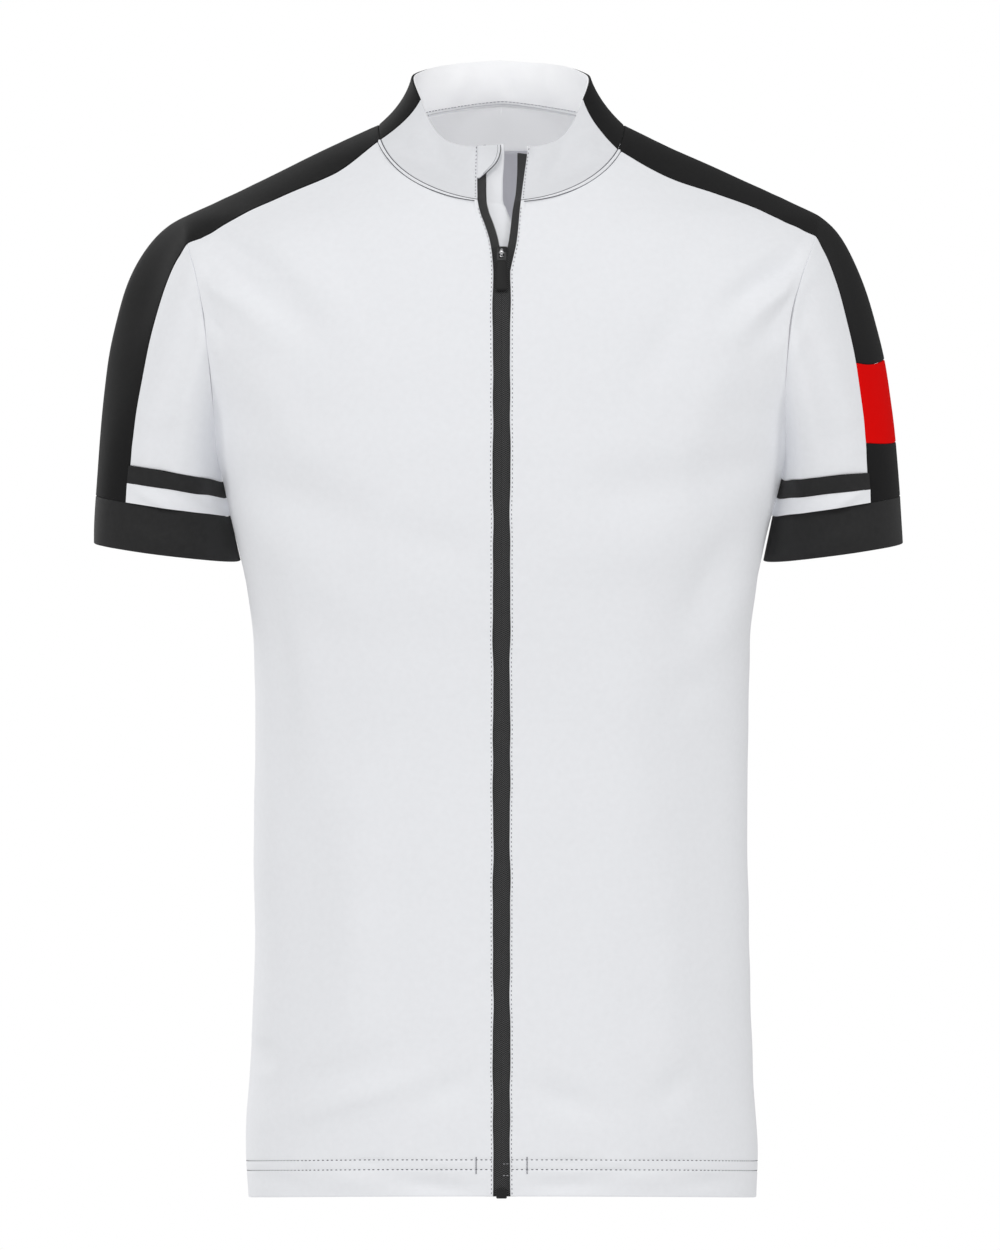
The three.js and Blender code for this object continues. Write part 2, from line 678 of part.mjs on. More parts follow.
const sides = SIDES.map(addSide);
const [RIGHT, LEFT] = sides;

// Normals of the skin, pointing out, averaged over the quads round each point.
function quadNormal(quad) {
  const [a, b, c, d] = quad.map((id) => skin.points[id]);
  return new THREE.Vector3().subVectors(c, a).cross(new THREE.Vector3().subVectors(d, b));
}
function normalsOf(quads) {
  const normals = new Map();
  for (const quad of quads) {
    const n = quadNormal(quad);
    for (const id of quad) {
      if (!normals.has(id)) normals.set(id, new THREE.Vector3());
      normals.get(id).add(n);
    }
  }
  for (const n of normals.values()) n.normalize();
  return normals;
}
const skinNormals = normalsOf([...skin.quads.values()].flat());
const collarPieces = [...skin.quads.keys()].filter((name) => name.startsWith("collar"));
const collarNormals = normalsOf(collarPieces.flatMap((name) => skin.quads.get(name)));

// Below this cosine a seam lies in a tight fold, and the pieces' walls lie face to face.
const SHARP_FOLD = 0.75;
const LEAST_SPREAD = 0.6; // keeps a sharp corner of a piece from moving in too far

function geometryOf(positions, triangles) {
  const geometry = new THREE.BufferGeometry();
  geometry.setAttribute("position", new THREE.Float32BufferAttribute(positions, 3));
  geometry.setIndex(triangles);
  return geometry;
}

// Thickens quads into a closed wall. outer and inner give the two faces of a point.
function wallGeometry(quads, outer, inner) {
  const order = new Map();
  for (const id of quads.flat()) if (!order.has(id)) order.set(id, order.size);
  const count = order.size;
  const positions = [];
  for (const id of order.keys()) positions.push(...outer(id).toArray());
  for (const id of order.keys()) positions.push(...inner(id).toArray());
  const triangles = [];
  for (const quad of quads) {
    const [a, b, c, d] = quad.map((id) => order.get(id));
    triangles.push(a, b, c, a, c, d);
    triangles.push(a + count, c + count, b + count, a + count, d + count, c + count);
  }
  for (const [from, to] of borderEdges(quads)) {
    const a = order.get(from);
    const b = order.get(to);
    triangles.push(b, a, a + count, b, a + count, b + count);
  }
  return geometryOf(positions, triangles);
}

// The edges that only one quad of the piece uses, in that quad's direction.
function borderEdges(quads) {
  const edges = new Map();
  for (const quad of quads) {
    quad.forEach((from, i) => {
      const to = quad[(i + 1) % quad.length];
      if (!edges.delete(`${to},${from}`)) edges.set(`${from},${to}`, [from, to, quad]);
    });
  }
  return [...edges.values()];
}

// How far each border point moves into its own piece, so that neighbours stay a seam gap apart.
function seamShifts(quads) {
  const inwards = new Map();
  for (const [from, to, quad] of borderEdges(quads)) {
    const direction = new THREE.Vector3().subVectors(skin.points[to], skin.points[from]);
    const inward = quadNormal(quad).cross(direction).normalize();
    for (const id of [from, to]) {
      if (!inwards.has(id)) inwards.set(id, []);
      inwards.get(id).push(inward);
    }
  }
  const shifts = new Map();
  for (const [id, pair] of inwards) {
    const sum = pair[0].clone().add(pair[1] ?? pair[0]);
    const spread = 1 + pair[0].dot(pair[1] ?? pair[0]);
    shifts.set(id, sum.multiplyScalar(SEAM_GAP / 2 / Math.max(spread, LEAST_SPREAD)));
  }
  return shifts;
}

// A cloth piece of the skin. thicknessAt gives the wall's thickness at a point.
function clothWall(piece, thicknessAt) {
  const quads = skin.quads.get(piece);
  const own = normalsOf(quads);
  const shifts = seamShifts(quads);
  const folded = (id) => own.get(id).dot(skinNormals.get(id)) < SHARP_FOLD;
  const outer = (id) => {
    const p = skin.points[id].clone();
    if (folded(id)) p.addScaledVector(own.get(id), -SEAM_GAP / 2);
    return shifts.has(id) ? p.add(shifts.get(id)) : p;
  };
  const inner = (id) => {
    const normal = folded(id) ? own.get(id) : skinNormals.get(id);
    return outer(id).addScaledVector(normal, -thicknessAt(skin.points[id]));
  };
  return wallGeometry(quads, outer, inner);
}

// A sheet from a grid of cells, each a point with its outward normal and the depth of its outer face.
function sheetGeometry(grid, thickness) {
  const columns = grid[0].length;
  const cells = grid.flat();
  const quads = [];
  for (let j = 0; j + 1 < grid.length; j += 1) {
    for (let i = 0; i + 1 < columns; i += 1) {
      const id = j * columns + i;
      quads.push([id, id + 1, id + columns + 1, id + columns]);
    }
  }
  const face = (extra) => (id) => {
    const { point, normal, depth } = cells[id];
    return point.clone().addScaledVector(normal, -(depth + extra));
  };
  return wallGeometry(quads, face(0), face(thickness));
}

const garment = new THREE.Group();

function material(colour, roughness, metalness = 0) {
  return new THREE.MeshStandardMaterial({ color: COLOURS[colour], roughness, metalness });
}
const WHITE_CLOTH = material("white", 0.85);
const BLACK_CLOTH = material("black", 0.8);
const RED_CLOTH = material("red", 0.8);
const LABEL_PRINT = material("label", 0.7);
const METAL = material("metal", 0.35, 1);
const RUBBER = material("rubber", 0.6);

function addMesh(name, geometry, finish, parent = garment) {
  const mesh = new THREE.Mesh(geometry, finish);
  mesh.name = name;
  parent.add(mesh);
  return mesh;
}

// Cloth pieces
// The turned-up hem doubles the cloth, but for the ends on the zip, where it tapers to one layer.
function hemThickness(p) {
  const atZip = p.y < 0 && Math.abs(p.x) < ZIP_HALF_WIDTH + 1;
  return p.z < HEM_Z + HEM_DEPTH / 2 && !atZip ? DOUBLE_CLOTH : CLOTH;
}
for (const piece of skin.quads.keys()) {
  const trunk = piece.startsWith("front") || piece === "back";
  const black = /^(stripe|band|cuff|collar_side)/.test(piece);
  const finish = piece === "accent_block" ? RED_CLOTH : black ? BLACK_CLOTH : WHITE_CLOTH;
  addMesh(piece, clothWall(piece, trunk ? hemThickness : () => CLOTH), finish);
}

// The front opening's edge on one side, from the hem to the collar's top: each cell has the edge point,
// the outward normal of the cloth there and the direction across the opening, towards the other side.
function openingEdge({ side, front, collarRows }) {
  const rows = [
    ...front.grid.slice(0, front.level + front.middleRows + 1).map((line) => line.slice(0, 2)),
    ...collarRows.slice(1).map((line) => line.slice(0, 2)),
  ];
  const points = mirrored(rows, side.sign).map(([edge, next]) => ({ edge, next }));
  return points.map(({ edge, next }, j) => {
    const below = points[Math.max(0, j - 1)].edge;
    const above = points[Math.min(points.length - 1, j + 1)].edge;
    const upward = new THREE.Vector3().subVectors(above, below).normalize();
    const across = new THREE.Vector3().subVectors(edge, next);
    across.addScaledVector(upward, -across.dot(upward)).normalize();
    const normal = new THREE.Vector3().crossVectors(across, upward).multiplyScalar(-side.sign).normalize();
    return { edge, across, normal };
  });
}

// A strip that follows the opening: reaches are distances across from the cloth's edge, those past it
// turned in by the given column of the opening's table.
function openingStrip(sideData, reaches, depth, turnColumn) {
  const { side } = sideData;
  return openingEdge(sideData).map(({ edge, across, normal }) => {
    const turn = radians(openingAt(side, edge.z, turnColumn));
    const turned = across.clone().multiplyScalar(Math.cos(turn)).addScaledVector(normal, -Math.sin(turn));
    const cells = reaches.map((reach) => ({
      point: edge.clone().addScaledVector(reach > 0 ? turned : across, reach),
      normal,
      depth,
    }));
    return side.sign > 0 ? cells.reverse() : cells;
  });
}

const tapeReach = ZIP_HALF_WIDTH - SEAM_GAP / 2;
for (const data of sides) {
  const strip = openingStrip(data, [-TAPE.under, 0, tapeReach], TAPE.depth, "turn");
  addMesh(`zip_tape_${data.side.name}`, sheetGeometry(strip, TAPE.thickness), BLACK_CLOTH);
}
const guard = openingStrip(RIGHT, [-GUARD.under, 0, GUARD.reach / 2, GUARD.reach], GUARD.depth, "guard");
addMesh("zip_guard", sheetGeometry(guard, GUARD.thickness), WHITE_CLOTH);

// The flap on the right collar's end, cut in one arc from the collar's top to its edge.
function garageGrid() {
  const edges = openingEdge(RIGHT);
  const topZ = edges[edges.length - 1].edge.z;
  const columns = range(GARAGE_COLUMNS);
  return GARAGE.map(({ drop, reach }) => {
    const z = topZ - drop;
    const above = edges.findIndex((cell) => cell.edge.z >= z);
    const [a, b] = [edges[above - 1], edges[above]];
    const share = (z - a.edge.z) / (b.edge.z - a.edge.z);
    const edge = a.edge.clone().lerp(b.edge, share);
    const normal = a.normal.clone().lerp(b.normal, share).normalize();
    const across = a.across.clone().lerp(b.across, share).setZ(0).normalize();
    return columns.map((k) => ({
      point: edge.clone().addScaledVector(across, lerp(SEAM_GAP / 2, reach, k)),
      normal,
      depth: 0,
    }));
  }).reverse();
}
addMesh("zip_garage", sheetGeometry(garageGrid(), CLOTH), WHITE_CLOTH);

// The inside of the collar, one piece from the zip round the neck to the zip again.
function facingGrid() {
  const rightRows = mirrored(RIGHT.collarRows, RIGHT.side.sign);
  const rows = rightRows.map((line, j) => [...line, ...LEFT.collarRows[j].slice(0, -1).reverse()]);
  const clearOfTape = TAPE.under + FACING.clearOfTape;
  return rows.map((line) => {
    const ids = line.map(pointId);
    const cells = line.map((point, i) => ({
      point: point.clone(),
      normal: collarNormals.get(ids[i]),
      depth: FACING.depth,
    }));
    for (const [end, next] of [[0, 1], [cells.length - 1, cells.length - 2]]) {
      const share = clearOfTape / line[end].distanceTo(line[next]);
      cells[end].point.lerp(line[next], share);
    }
    return cells.reverse();
  });
}
addMesh("collar_facing", sheetGeometry(facingGrid(), FACING.thickness), WHITE_CLOTH);

// The bare label inside the back of the neck, laid on the back's own points at the centre line.
function labelGrid() {
  const { grid } = LEFT.back;
  const centreZ = grid.map((line) => line[0].z);
  const rowAt = (z) => {
    const j = centreZ.findIndex((value) => value > z) - 1;
    return j + (z - centreZ[j]) / (centreZ[j + 1] - centreZ[j]);
  };
  const bottom = rowAt(LABEL.bottom);
  const top = rowAt(LABEL.top);
  const rows = [bottom];
  for (let j = Math.ceil(bottom); j < top; j += 1) rows.push(j);
  rows.push(top);
  return rows.map((row) => {
    const j = Math.floor(row);
    const blend = (i, of) => of(grid[j][i]).clone().lerp(of(grid[j + 1][i]), row - j);
    const place = [0, 1].map((i) => blend(i, (p) => p));
    const facing = [0, 1].map((i) => blend(i, (p) => skinNormals.get(pointId(p))));
    const share = LABEL.halfWidth / place[1].x;
    return [1, 0, -1].map((sign) => ({
      point: mirror(place[0].clone().lerp(place[1], share * Math.abs(sign)), sign || 1),
      normal: mirror(facing[0].clone().lerp(facing[1], share * Math.abs(sign)), sign || 1).normalize(),
      depth: CLOTH + LABEL.clearance,
    }));
  });
}
addMesh("neck_label", sheetGeometry(labelGrid(), LABEL.thickness), LABEL_PRINT);

// The hard pieces of the zip are plates over the tapes: an outline in x and z, between two heights.
function rectangle(half, bottom, top) {
  return [[-half, bottom], [half, bottom], [half, top], [-half, top]];
}

// A four-sided outline with its corners cut off.
function cutCornered(bottomHalf, topHalf, bottom, top, corner) {
  return [
    [-bottomHalf + corner, bottom],
    [bottomHalf - corner, bottom],
    [bottomHalf, bottom + corner],
    [topHalf, top - corner],
    [topHalf - corner, top],
    [-topHalf + corner, top],
    [-topHalf, top - corner],
    [-bottomHalf, bottom + corner],
  ];
}

function plate(outline, low, high) {
  const shape = new THREE.Shape(outline.map(([x, z]) => new THREE.Vector2(x, z)));
  const geometry = new THREE.ExtrudeGeometry(shape, { depth: high - low, bevelEnabled: false });
  return geometry.translate(0, 0, low);
}

function toManifold(geometry) {
  const bare = new THREE.BufferGeometry();
  bare.setAttribute("position", geometry.attributes.position);
  if (geometry.index) bare.setIndex(geometry.index);
  const merged = mergeVertices(bare, 1e-4);
  return new wasm.Manifold(
    new wasm.Mesh({
      numProp: 3,
      vertProperties: new Float32Array(merged.attributes.position.array),
      triVerts: new Uint32Array(merged.index.array),
    }),
  );
}
function fromManifold(solid) {
  const { vertProperties, triVerts } = solid.getMesh();
  return geometryOf(Array.from(vertProperties), Array.from(triVerts));
}

// The slider's body with its bail, an arch that the pull tab's bar turns in.
function sliderGeometry() {
  const { top, bottom, topHalf, bottomHalf, corner, low, high } = SLIDER;
  const { bailHalf, bailLength, bailBar, bailRoom, bailRoot } = SLIDER;
  const body = plate(cutCornered(bottomHalf, topHalf, bottom, top, corner), low, high);
  const end = bailLength / 2;
  const inner = end - bailBar;
  const arch = plate(rectangle(bailHalf, -end, end), high - bailRoot, high + bailRoom + bailBar);
  const room = plate(rectangle(topHalf, -inner, inner), high, high + bailRoom);
  return fromManifold(toManifold(body).add(toManifold(arch).subtract(toManifold(room))));
}

// The pull tab about its own pivot: a round bar, two arms beside the bail and the flat tab below it.
function pullGeometry() {
  const { barRadius, barInset, eyeHalf, eyeLength, armThickness } = PULL;
  const { half, endHalf, corner, length, thickness } = PULL;
  const bar = new THREE.CylinderGeometry(barRadius, barRadius, (half - barInset) * 2, 8).rotateZ(Math.PI / 2);
  const armOutline = rectangle((half - eyeHalf) / 2, -eyeLength - corner, barRadius);
  const arm = plate(armOutline, -armThickness / 2, armThickness / 2);
  const tab = plate(cutCornered(endHalf, half, -length, -eyeLength, corner), -thickness / 2, thickness / 2);
  let solid = toManifold(bar).add(toManifold(tab));
  for (const sign of [-1, 1]) {
    solid = solid.add(toManifold(arm).translate([(sign * (half + eyeHalf)) / 2, 0, 0]));
  }
  return fromManifold(solid);
}

// Places a group on the outer face of the tapes at a height, leaning with the front.
// A plate is drawn in the group's x and y, and its height over the tapes is the group's z.
function groupOnTapes(z) {
  const at = (height) => onTrunk(ZIP_HALF_WIDTH, height, -1);
  const upward = new THREE.Vector3().subVectors(at(z + SLIDER.top), at(z + SLIDER.bottom));
  const group = new THREE.Group();
  group.position.set(0, at(z).y + TAPE.depth, z);
  group.rotation.x = Math.PI / 2 - Math.atan2(upward.y, upward.z);
  garment.add(group);
  return group;
}

const head = groupOnTapes(SLIDER_Z);
addMesh("zip_slider", sliderGeometry(), METAL, head);
const pull = addMesh("zip_pull", pullGeometry(), RUBBER, head);
pull.position.set(0, PULL.pivotZ, SLIDER.high + SLIDER.bailRoom / 2);
pull.rotation.x = radians(PULL.rest);

const foot = groupOnTapes(HEM_Z + HEM_LIFT);
const boxOutline = rectangle(ZIP_BOX.half, -ZIP_BOX.below, ZIP_BOX.above);
addMesh("zip_box", plate(boxOutline, ZIP_BOX.low, ZIP_BOX.high), RUBBER, foot);

export default garment;
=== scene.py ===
"""A short-sleeved, full-zip cycling jersey, filled out as if worn, with nobody in it.

The skin of the garment is worked out in millimetres from the same short tables as its solids.
Each cloth piece is a thin shell on that skin, with its own seam edges, folds and stitches.
"""

import math

import bpy
import numpy as np
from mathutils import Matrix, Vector


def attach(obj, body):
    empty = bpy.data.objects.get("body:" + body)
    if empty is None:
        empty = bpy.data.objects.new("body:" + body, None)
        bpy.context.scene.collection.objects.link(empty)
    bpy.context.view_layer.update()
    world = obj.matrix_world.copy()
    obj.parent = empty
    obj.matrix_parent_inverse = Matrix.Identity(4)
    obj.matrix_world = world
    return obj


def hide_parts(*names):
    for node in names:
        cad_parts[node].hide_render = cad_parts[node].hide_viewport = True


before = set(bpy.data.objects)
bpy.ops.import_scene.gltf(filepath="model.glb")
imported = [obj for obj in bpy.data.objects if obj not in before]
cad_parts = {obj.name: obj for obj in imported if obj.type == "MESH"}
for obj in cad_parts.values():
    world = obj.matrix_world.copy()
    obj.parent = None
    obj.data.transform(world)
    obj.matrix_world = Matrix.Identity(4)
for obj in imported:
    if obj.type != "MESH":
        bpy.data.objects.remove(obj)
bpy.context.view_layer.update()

MM = 0.001
RNG = np.random.default_rng(20)


def table(columns, rows):
    """Rows of numbers as named columns."""
    return dict(zip(columns.split(), np.array(rows, float).T))


# Driving sizes of the garment, in millimetres
HEM_Z = -702
HEM_LIFT = 9.5
UNDERARM_Z = -216
SHOULDER_SLOPE = 0.466
SHOULDER_POINT = (83, 4.6)
CLOTH = 1.2
SEAM_GAP = 0.3
CUFF_DEPTH, INSET_DEPTH, BAND_DEPTH = 31.5, 12.8, 11.5
ACCENT_START, ACCENT_END = 0.59, 0.91
ACCENT_START_LOWER, ACCENT_END_LOWER = (4, 12), (0.6, 6)
ZIP_HALF_WIDTH = 5.3
SLIDER_Z = -85

# Sections of the trunk: height, half width, depths in front and behind, and their roundness
TRUNK = table("z half front back front_power back_power", [
    (24, 42, 58, 61, 1.4, 2.1),
    (4.6, 83, 69, 71, 1.4, 1.95),
    (-20, 135.8, 76, 82, 1.4, 1.85),
    (-44, 187.3, 85, 91, 1.55, 1.85),
    (-60, 217, 91, 96, 1.8, 1.95),
    (-77, 234, 97, 101, 2.1, 2.15),
    (-100, 244, 104, 106, 2.3, 2.3),
    (-130, 236, 111, 110, 2.4, 2.4),
    (-160, 214, 116, 112, 2.45, 2.45),
    (-190, 193.5, 119, 112, 2.5, 2.5),
    (-216, 187, 121, 111, 2.5, 2.5),
    (-250, 178.8, 121, 108, 2.5, 2.5),
    (-275, 173.2, 119.5, 106, 2.5, 2.5),
    (-300, 168, 117, 103, 2.5, 2.5),
    (-340, 163.5, 113, 98, 2.45, 2.45),
    (-420, 162.3, 108, 94, 2.4, 2.4),
    (-520, 163, 109, 98, 2.4, 2.4),
    (-620, 166.5, 112, 107, 2.4, 2.4),
    (-670, 168.8, 114, 112, 2.4, 2.4),
    (-702, 167.5, 114, 113, 2.4, 2.4),
])
ARMHOLE = table("z x", [
    (-60, 208.5), (-77, 205), (-100, 198), (-125, 193.5),
    (-150, 190.5), (-175, 188.5), (-200, 187.6), (-216, 187),
])
ARMHOLE_DRAW_REACH = 150
STRIPE_BULGE = 2.5

NECK_HALF, NECK_DROP, NECK_RISE = 81, 55.5, 17.5
NECK_FRONT_POWER, NECK_BACK_POWER = 2, 1.5
COLLAR_TOP_HALF, COLLAR_TOP_FRONT, COLLAR_TOP_BACK = 59, 63, 56
COLLAR_TOP = table("angle z", [
    (-90, -12), (-70, -12.6), (-56, -9.5), (-47, -4.5), (-39, 3), (-31, 13),
    (-25, 20.5), (-12, 31), (0, 37), (20, 42), (45, 47), (90, 51.5),
])
COLLAR_SHIFT = 2
COLLAR_STRIPE_FRONT, COLLAR_STRIPE_BACK = -25, 50
COLLAR_HOLLOW = 3.5

SIDES = {
    "right": dict(
        name="right", sign=-1, neck_z=-6.5, arm_z=-75.5, drop=(21.5, 20, 20.5),
        cuff_angle=61, cuff_x=269.2, armhole=0, crown=(0.93, 0, -0.37, 185),
        band_shift=(0, 0), inset_shift=(0, 0),
    ),
    "left": dict(
        name="left", sign=1, neck_z=-13.5, arm_z=-70, drop=(24, 20, 17),
        cuff_angle=63, cuff_x=264.4, armhole=5, crown=(0.89, 0, -0.45, 152),
        band_shift=(4.8, -2.7), inset_shift=(4, -0.6),
    ),
}
STRIPE_BACK = dict(neck_turn=0.58, arm_z=-72, drop=(10, 14, 18), cuff_angle=58)

# The sleeve's opening, and the directions in which its cloth leaves the armhole and reaches the cuff
CUFF_OUTER_YZ, CUFF_INNER = (2, -270.6), (172.7, 18, -282)
CUFF_HALF_DEPTH, CUFF_POWER, CUFF_DIP = 56, 2.2, 3.2
SLEEVE_START = [
    (50, 0.6, -0.08, -0.8, 140),
    (90, 0.55, -0.05, -0.83, 115),
    (135, 0.42, 0.02, -0.9, 80),
    (180, -0.21, 0.2, -0.96, 62),
]
SLEEVE_END_OUTER, SLEEVE_END_INNER = (0.05, -1, 190), (-0.22, -0.97, 64)

# The front opening: distance from the zip's line, and how far the tape and the strip behind turn in
OPENING = {
    "right": table("z x turn guard", [
        (-97, ZIP_HALF_WIDTH, 0, 2), (-89, 5.6, 0, 6), (-78, 7.1, 0, 12),
        (-66.5, 10.4, 2, 13), (-57, 13.9, 3, 14), (-48, 15.6, 4, 14), (-10, 16.1, 8, 14),
    ]),
    "left": table("z x turn", [
        (-97, ZIP_HALF_WIDTH, 0), (-89, 7, 4), (-76.5, 9.7, 16),
        (-52, 12.2, 34), (-34, 14.6, 40), (-10, 18.6, 40),
    ]),
}
GARAGE = table("drop reach", [(0, 17), (2, 16.8), (6, 15.3), (11.2, 12.3), (17, 6.6), (22, 1.4)])
TAPE_UNDER, TAPE_DEPTH, TAPE_THICKNESS = 5.5, CLOTH + 0.4, 1.1
GUARD_UNDER, GUARD_REACH, GUARD_DEPTH, GUARD_THICKNESS = 11, 18.5, 3.9, 1
FACING_DEPTH, FACING_THICKNESS, FACING_CLEAR_OF_TAPE = CLOTH + SEAM_GAP, 1, 1
LABEL_HALF, LABEL_TOP, LABEL_BOTTOM, LABEL_CLEARANCE = 22, -6, -54, 0.8

# Where the neck seam's rows begin, as a share of the rows above the underarm
FRONT_NECK_SHARE = 6 / 11
BACK_NECK_SHARE = 7 / 11
ARMHOLE_SPACING = 1.15

# Mesh steps and the close marks near an edge, in millimetres
STEP = 3.2
FINE_STEP = 2.4
START = np.array([0.0])
EDGE_MARKS = np.array([0.12, 0.35, 0.7, 1.2, 2.2])
STITCH_MARKS = np.array([0.12, 0.35, 0.7, 1.2, 1.6, 2, 2.4, 2.8, 3.4, 4.4, 6, 8])
UPPER_LENGTH = 190
COLLAR_HEIGHT = 36
STRIPE_COLUMNS = 34


# Curves
def hermite(start, start_slope, end, end_slope, t):
    u = 1 - t
    begun = start * (1 + 2 * t) * u * u + start_slope * t * u * u
    return begun + end * t * t * (3 - 2 * t) - end_slope * t * t * u


def lerp(a, b, t):
    return a + (b - a) * t


def between(at, keys, vectors):
    """Vectors at places between those of a row of them."""
    return np.stack([np.interp(at, keys, vectors[:, k]) for k in range(3)], axis=-1)


def along(rows, key, column, at):
    """Smooth curve through a table, with no overshoot between its rows."""
    keys, values = rows[key], rows[column]
    if keys[-1] < keys[0]:
        keys, values = keys[::-1], values[::-1]
    steps = np.diff(keys)
    slopes = np.diff(values) / steps
    before, after = slopes[:-1], slopes[1:]
    turning = before * after <= 0
    inner = np.where(turning, 0, 2 * before * after / np.where(turning, 1, before + after))
    tangents = np.concatenate([slopes[:1], inner, slopes[-1:]])
    k = np.clip(at, keys[0], keys[-1])
    i = np.clip(np.searchsorted(keys, k, side="right") - 1, 0, len(keys) - 2)
    t = (k - keys[i]) / steps[i]
    return hermite(values[i], tangents[i] * steps[i], values[i + 1], tangents[i + 1] * steps[i], t)


def traced(points):
    """A function of a share from 0 to 1 that runs evenly through a list of points."""
    points = np.asarray(points, float)
    shares = np.linspace(0, 1, len(points))
    return lambda share: np.stack([np.interp(share, shares, column) for column in points.T], axis=-1)


def coons(bottom, top, left, right, u, v):
    """A patch blended from its four edges, each a function of a share, at the shares u and v."""
    low, high = v[..., None], u[..., None]
    zero, one = np.zeros(1), np.ones(1)
    ruled = (1 - low) * bottom(u) + low * top(u) + (1 - high) * left(v) + high * right(v)
    corners = (
        (1 - high) * (1 - low) * bottom(zero) + high * (1 - low) * bottom(one)
        + (1 - high) * low * top(zero) + high * low * top(one)
    )
    return ruled - corners


# The skin of the trunk
def ridge_z(x):
    return SHOULDER_POINT[1] - (x - SHOULDER_POINT[0]) * SHOULDER_SLOPE


def section(z, face):
    names = ("half", "front", "front_power") if face < 0 else ("half", "back", "back_power")
    return [along(TRUNK, "z", name, z) for name in names]


def trunk_point(turn, z, face):
    half, depth, power = section(z, face)
    x = half * np.clip(np.cos(turn), 0, 1) ** (2 / power)
    y = face * depth * np.clip(np.sin(turn), 0, 1) ** (2 / power)
    return np.stack(np.broadcast_arrays(x, y, z), axis=-1)


def turn_at(x, z, face):
    half, _, power = section(z, face)
    return np.arccos(np.clip(np.clip(x / half, 0, None) ** (power / 2), 0, 1))


def on_trunk(x, z, face):
    return trunk_point(turn_at(x, z, face), z, face)


def roof_height(x, y):
    """The height of the shoulder above points of the plan."""
    low, high = np.full_like(x, -200.0), ridge_z(x)
    for _ in range(40):
        z = (low + high) / 2
        half, front, front_power = section(z, -1)
        _, back, back_power = section(z, 1)
        depth, power = np.where(y < 0, front, back), np.where(y < 0, front_power, back_power)
        outside = (x / half) ** power + (np.abs(y) / depth) ** power > 1
        high = np.where(outside, z, high)
        low = np.where(outside, low, z)
    return (low + high) / 2


def neck_seam(turn):
    """The neck seam, from the centre front (-1) over the shoulder point (0) to the centre back (1)."""
    turn = np.atleast_1d(np.asarray(turn, float))
    angle = np.abs(turn) * math.pi / 2
    shoulder_z = ridge_z(NECK_HALF)
    cosine, sine = np.clip(np.cos(angle), 0, 1), np.clip(np.sin(angle), 0, 1)
    front = on_trunk(
        NECK_HALF * cosine ** (2 / NECK_FRONT_POWER),
        shoulder_z - NECK_DROP * sine ** (2 / NECK_FRONT_POWER), -1,
    )
    back = on_trunk(NECK_HALF * cosine, shoulder_z + NECK_RISE * (1 - cosine ** NECK_BACK_POWER), 1)
    return np.where((turn < 0)[..., None], front, back)


def neck_turn_at_z(z):
    share = (ridge_z(NECK_HALF) - z) / NECK_DROP
    return -math.asin(share ** (NECK_FRONT_POWER / 2)) * 2 / math.pi


def opening_at(side, z, column="x"):
    return along(OPENING[side["name"]], "z", column, z)


def opening_turn(side):
    """The turn of the neck seam where it meets the front opening."""
    turn = -0.9
    for _ in range(20):
        x = float(opening_at(side, neck_seam(turn)[0, 2]))
        turn = -math.acos((x / NECK_HALF) ** (NECK_FRONT_POWER / 2)) * 2 / math.pi
    return turn


def armhole_x(side, z):
    share = np.clip((z - UNDERARM_Z) / ARMHOLE_DRAW_REACH, 0, 1)
    return along(ARMHOLE, "z", "x", z) - side["armhole"] * np.sin(math.pi * share)


def armhole(side, face, share):
    """The armhole seam, from the underarm (0) up to the stripe (1)."""
    arm_z = side["arm_z"] if face < 0 else STRIPE_BACK["arm_z"]
    z = lerp(UNDERARM_Z, arm_z, 1 - np.clip(np.cos(share * math.pi / 2), 0, 1) ** ARMHOLE_SPACING)
    return on_trunk(armhole_x(side, z), z, face)


def neck_turn(side, face):
    return neck_turn_at_z(side["neck_z"]) if face < 0 else STRIPE_BACK["neck_turn"]


def stripe_edge(side, face, share):
    """The edge of the shoulder stripe, from the neck seam (0) to the armhole (1)."""
    spec = side if face < 0 else STRIPE_BACK
    start = neck_seam(neck_turn(side, face))[0]
    end = on_trunk(armhole_x(side, spec["arm_z"]), spec["arm_z"], face)
    drops = table("at drop", [
        (0, ridge_z(start[0]) - start[2]),
        (0.25, spec["drop"][0]),
        (0.5, spec["drop"][1]),
        (0.75, spec["drop"][2]),
        (1, ridge_z(end[0]) - end[2]),
    ])
    x = lerp(start[0], end[0], share)
    return on_trunk(x, ridge_z(x) - along(drops, "at", "drop", share), face)


# Mesh spacing
def lengths(points, axis):
    """Running length along one axis of a grid of points."""
    steps = np.linalg.norm(np.diff(points, axis=axis), axis=-1)
    shape = list(steps.shape)
    shape[axis] = 1
    return np.concatenate([np.zeros(shape), np.cumsum(steps, axis=axis)], axis=axis)


def spread(length, step, start, end, columns=None):
    """Shares along lines of the given lengths: close marks at both ends, and even steps between them."""
    length = np.atleast_1d(length)[:, None]
    first, last = start[None] / length, 1 - end[::-1][None] / length
    count = max(2, int(round((length.max() - start[-1] - end[-1]) / step)))
    if columns:
        count = columns - len(start) - len(end) + 1
    middle = first[:, -1:] + (last[:, :1] - first[:, -1:]) * np.linspace(0, 1, count + 1)[1:-1]
    return np.concatenate([first, middle, last], axis=1)


def marks(length, step, start, end, fine=()):
    """Distances along one line, with close ones round the places in fine."""
    even = spread(length, step, np.asarray(start), np.asarray(end))[0] * length
    close = np.array([place + shift for place in fine for shift in np.arange(-1.6, 1.7, 0.4)])
    if len(close):
        even = even[np.abs(even[:, None] - close[None]).min(1) > 0.5]
    return np.sort(np.concatenate([even, close]))


HEM_STITCHES = (17.4, 23.8)
STITCH_INSET = 1.4


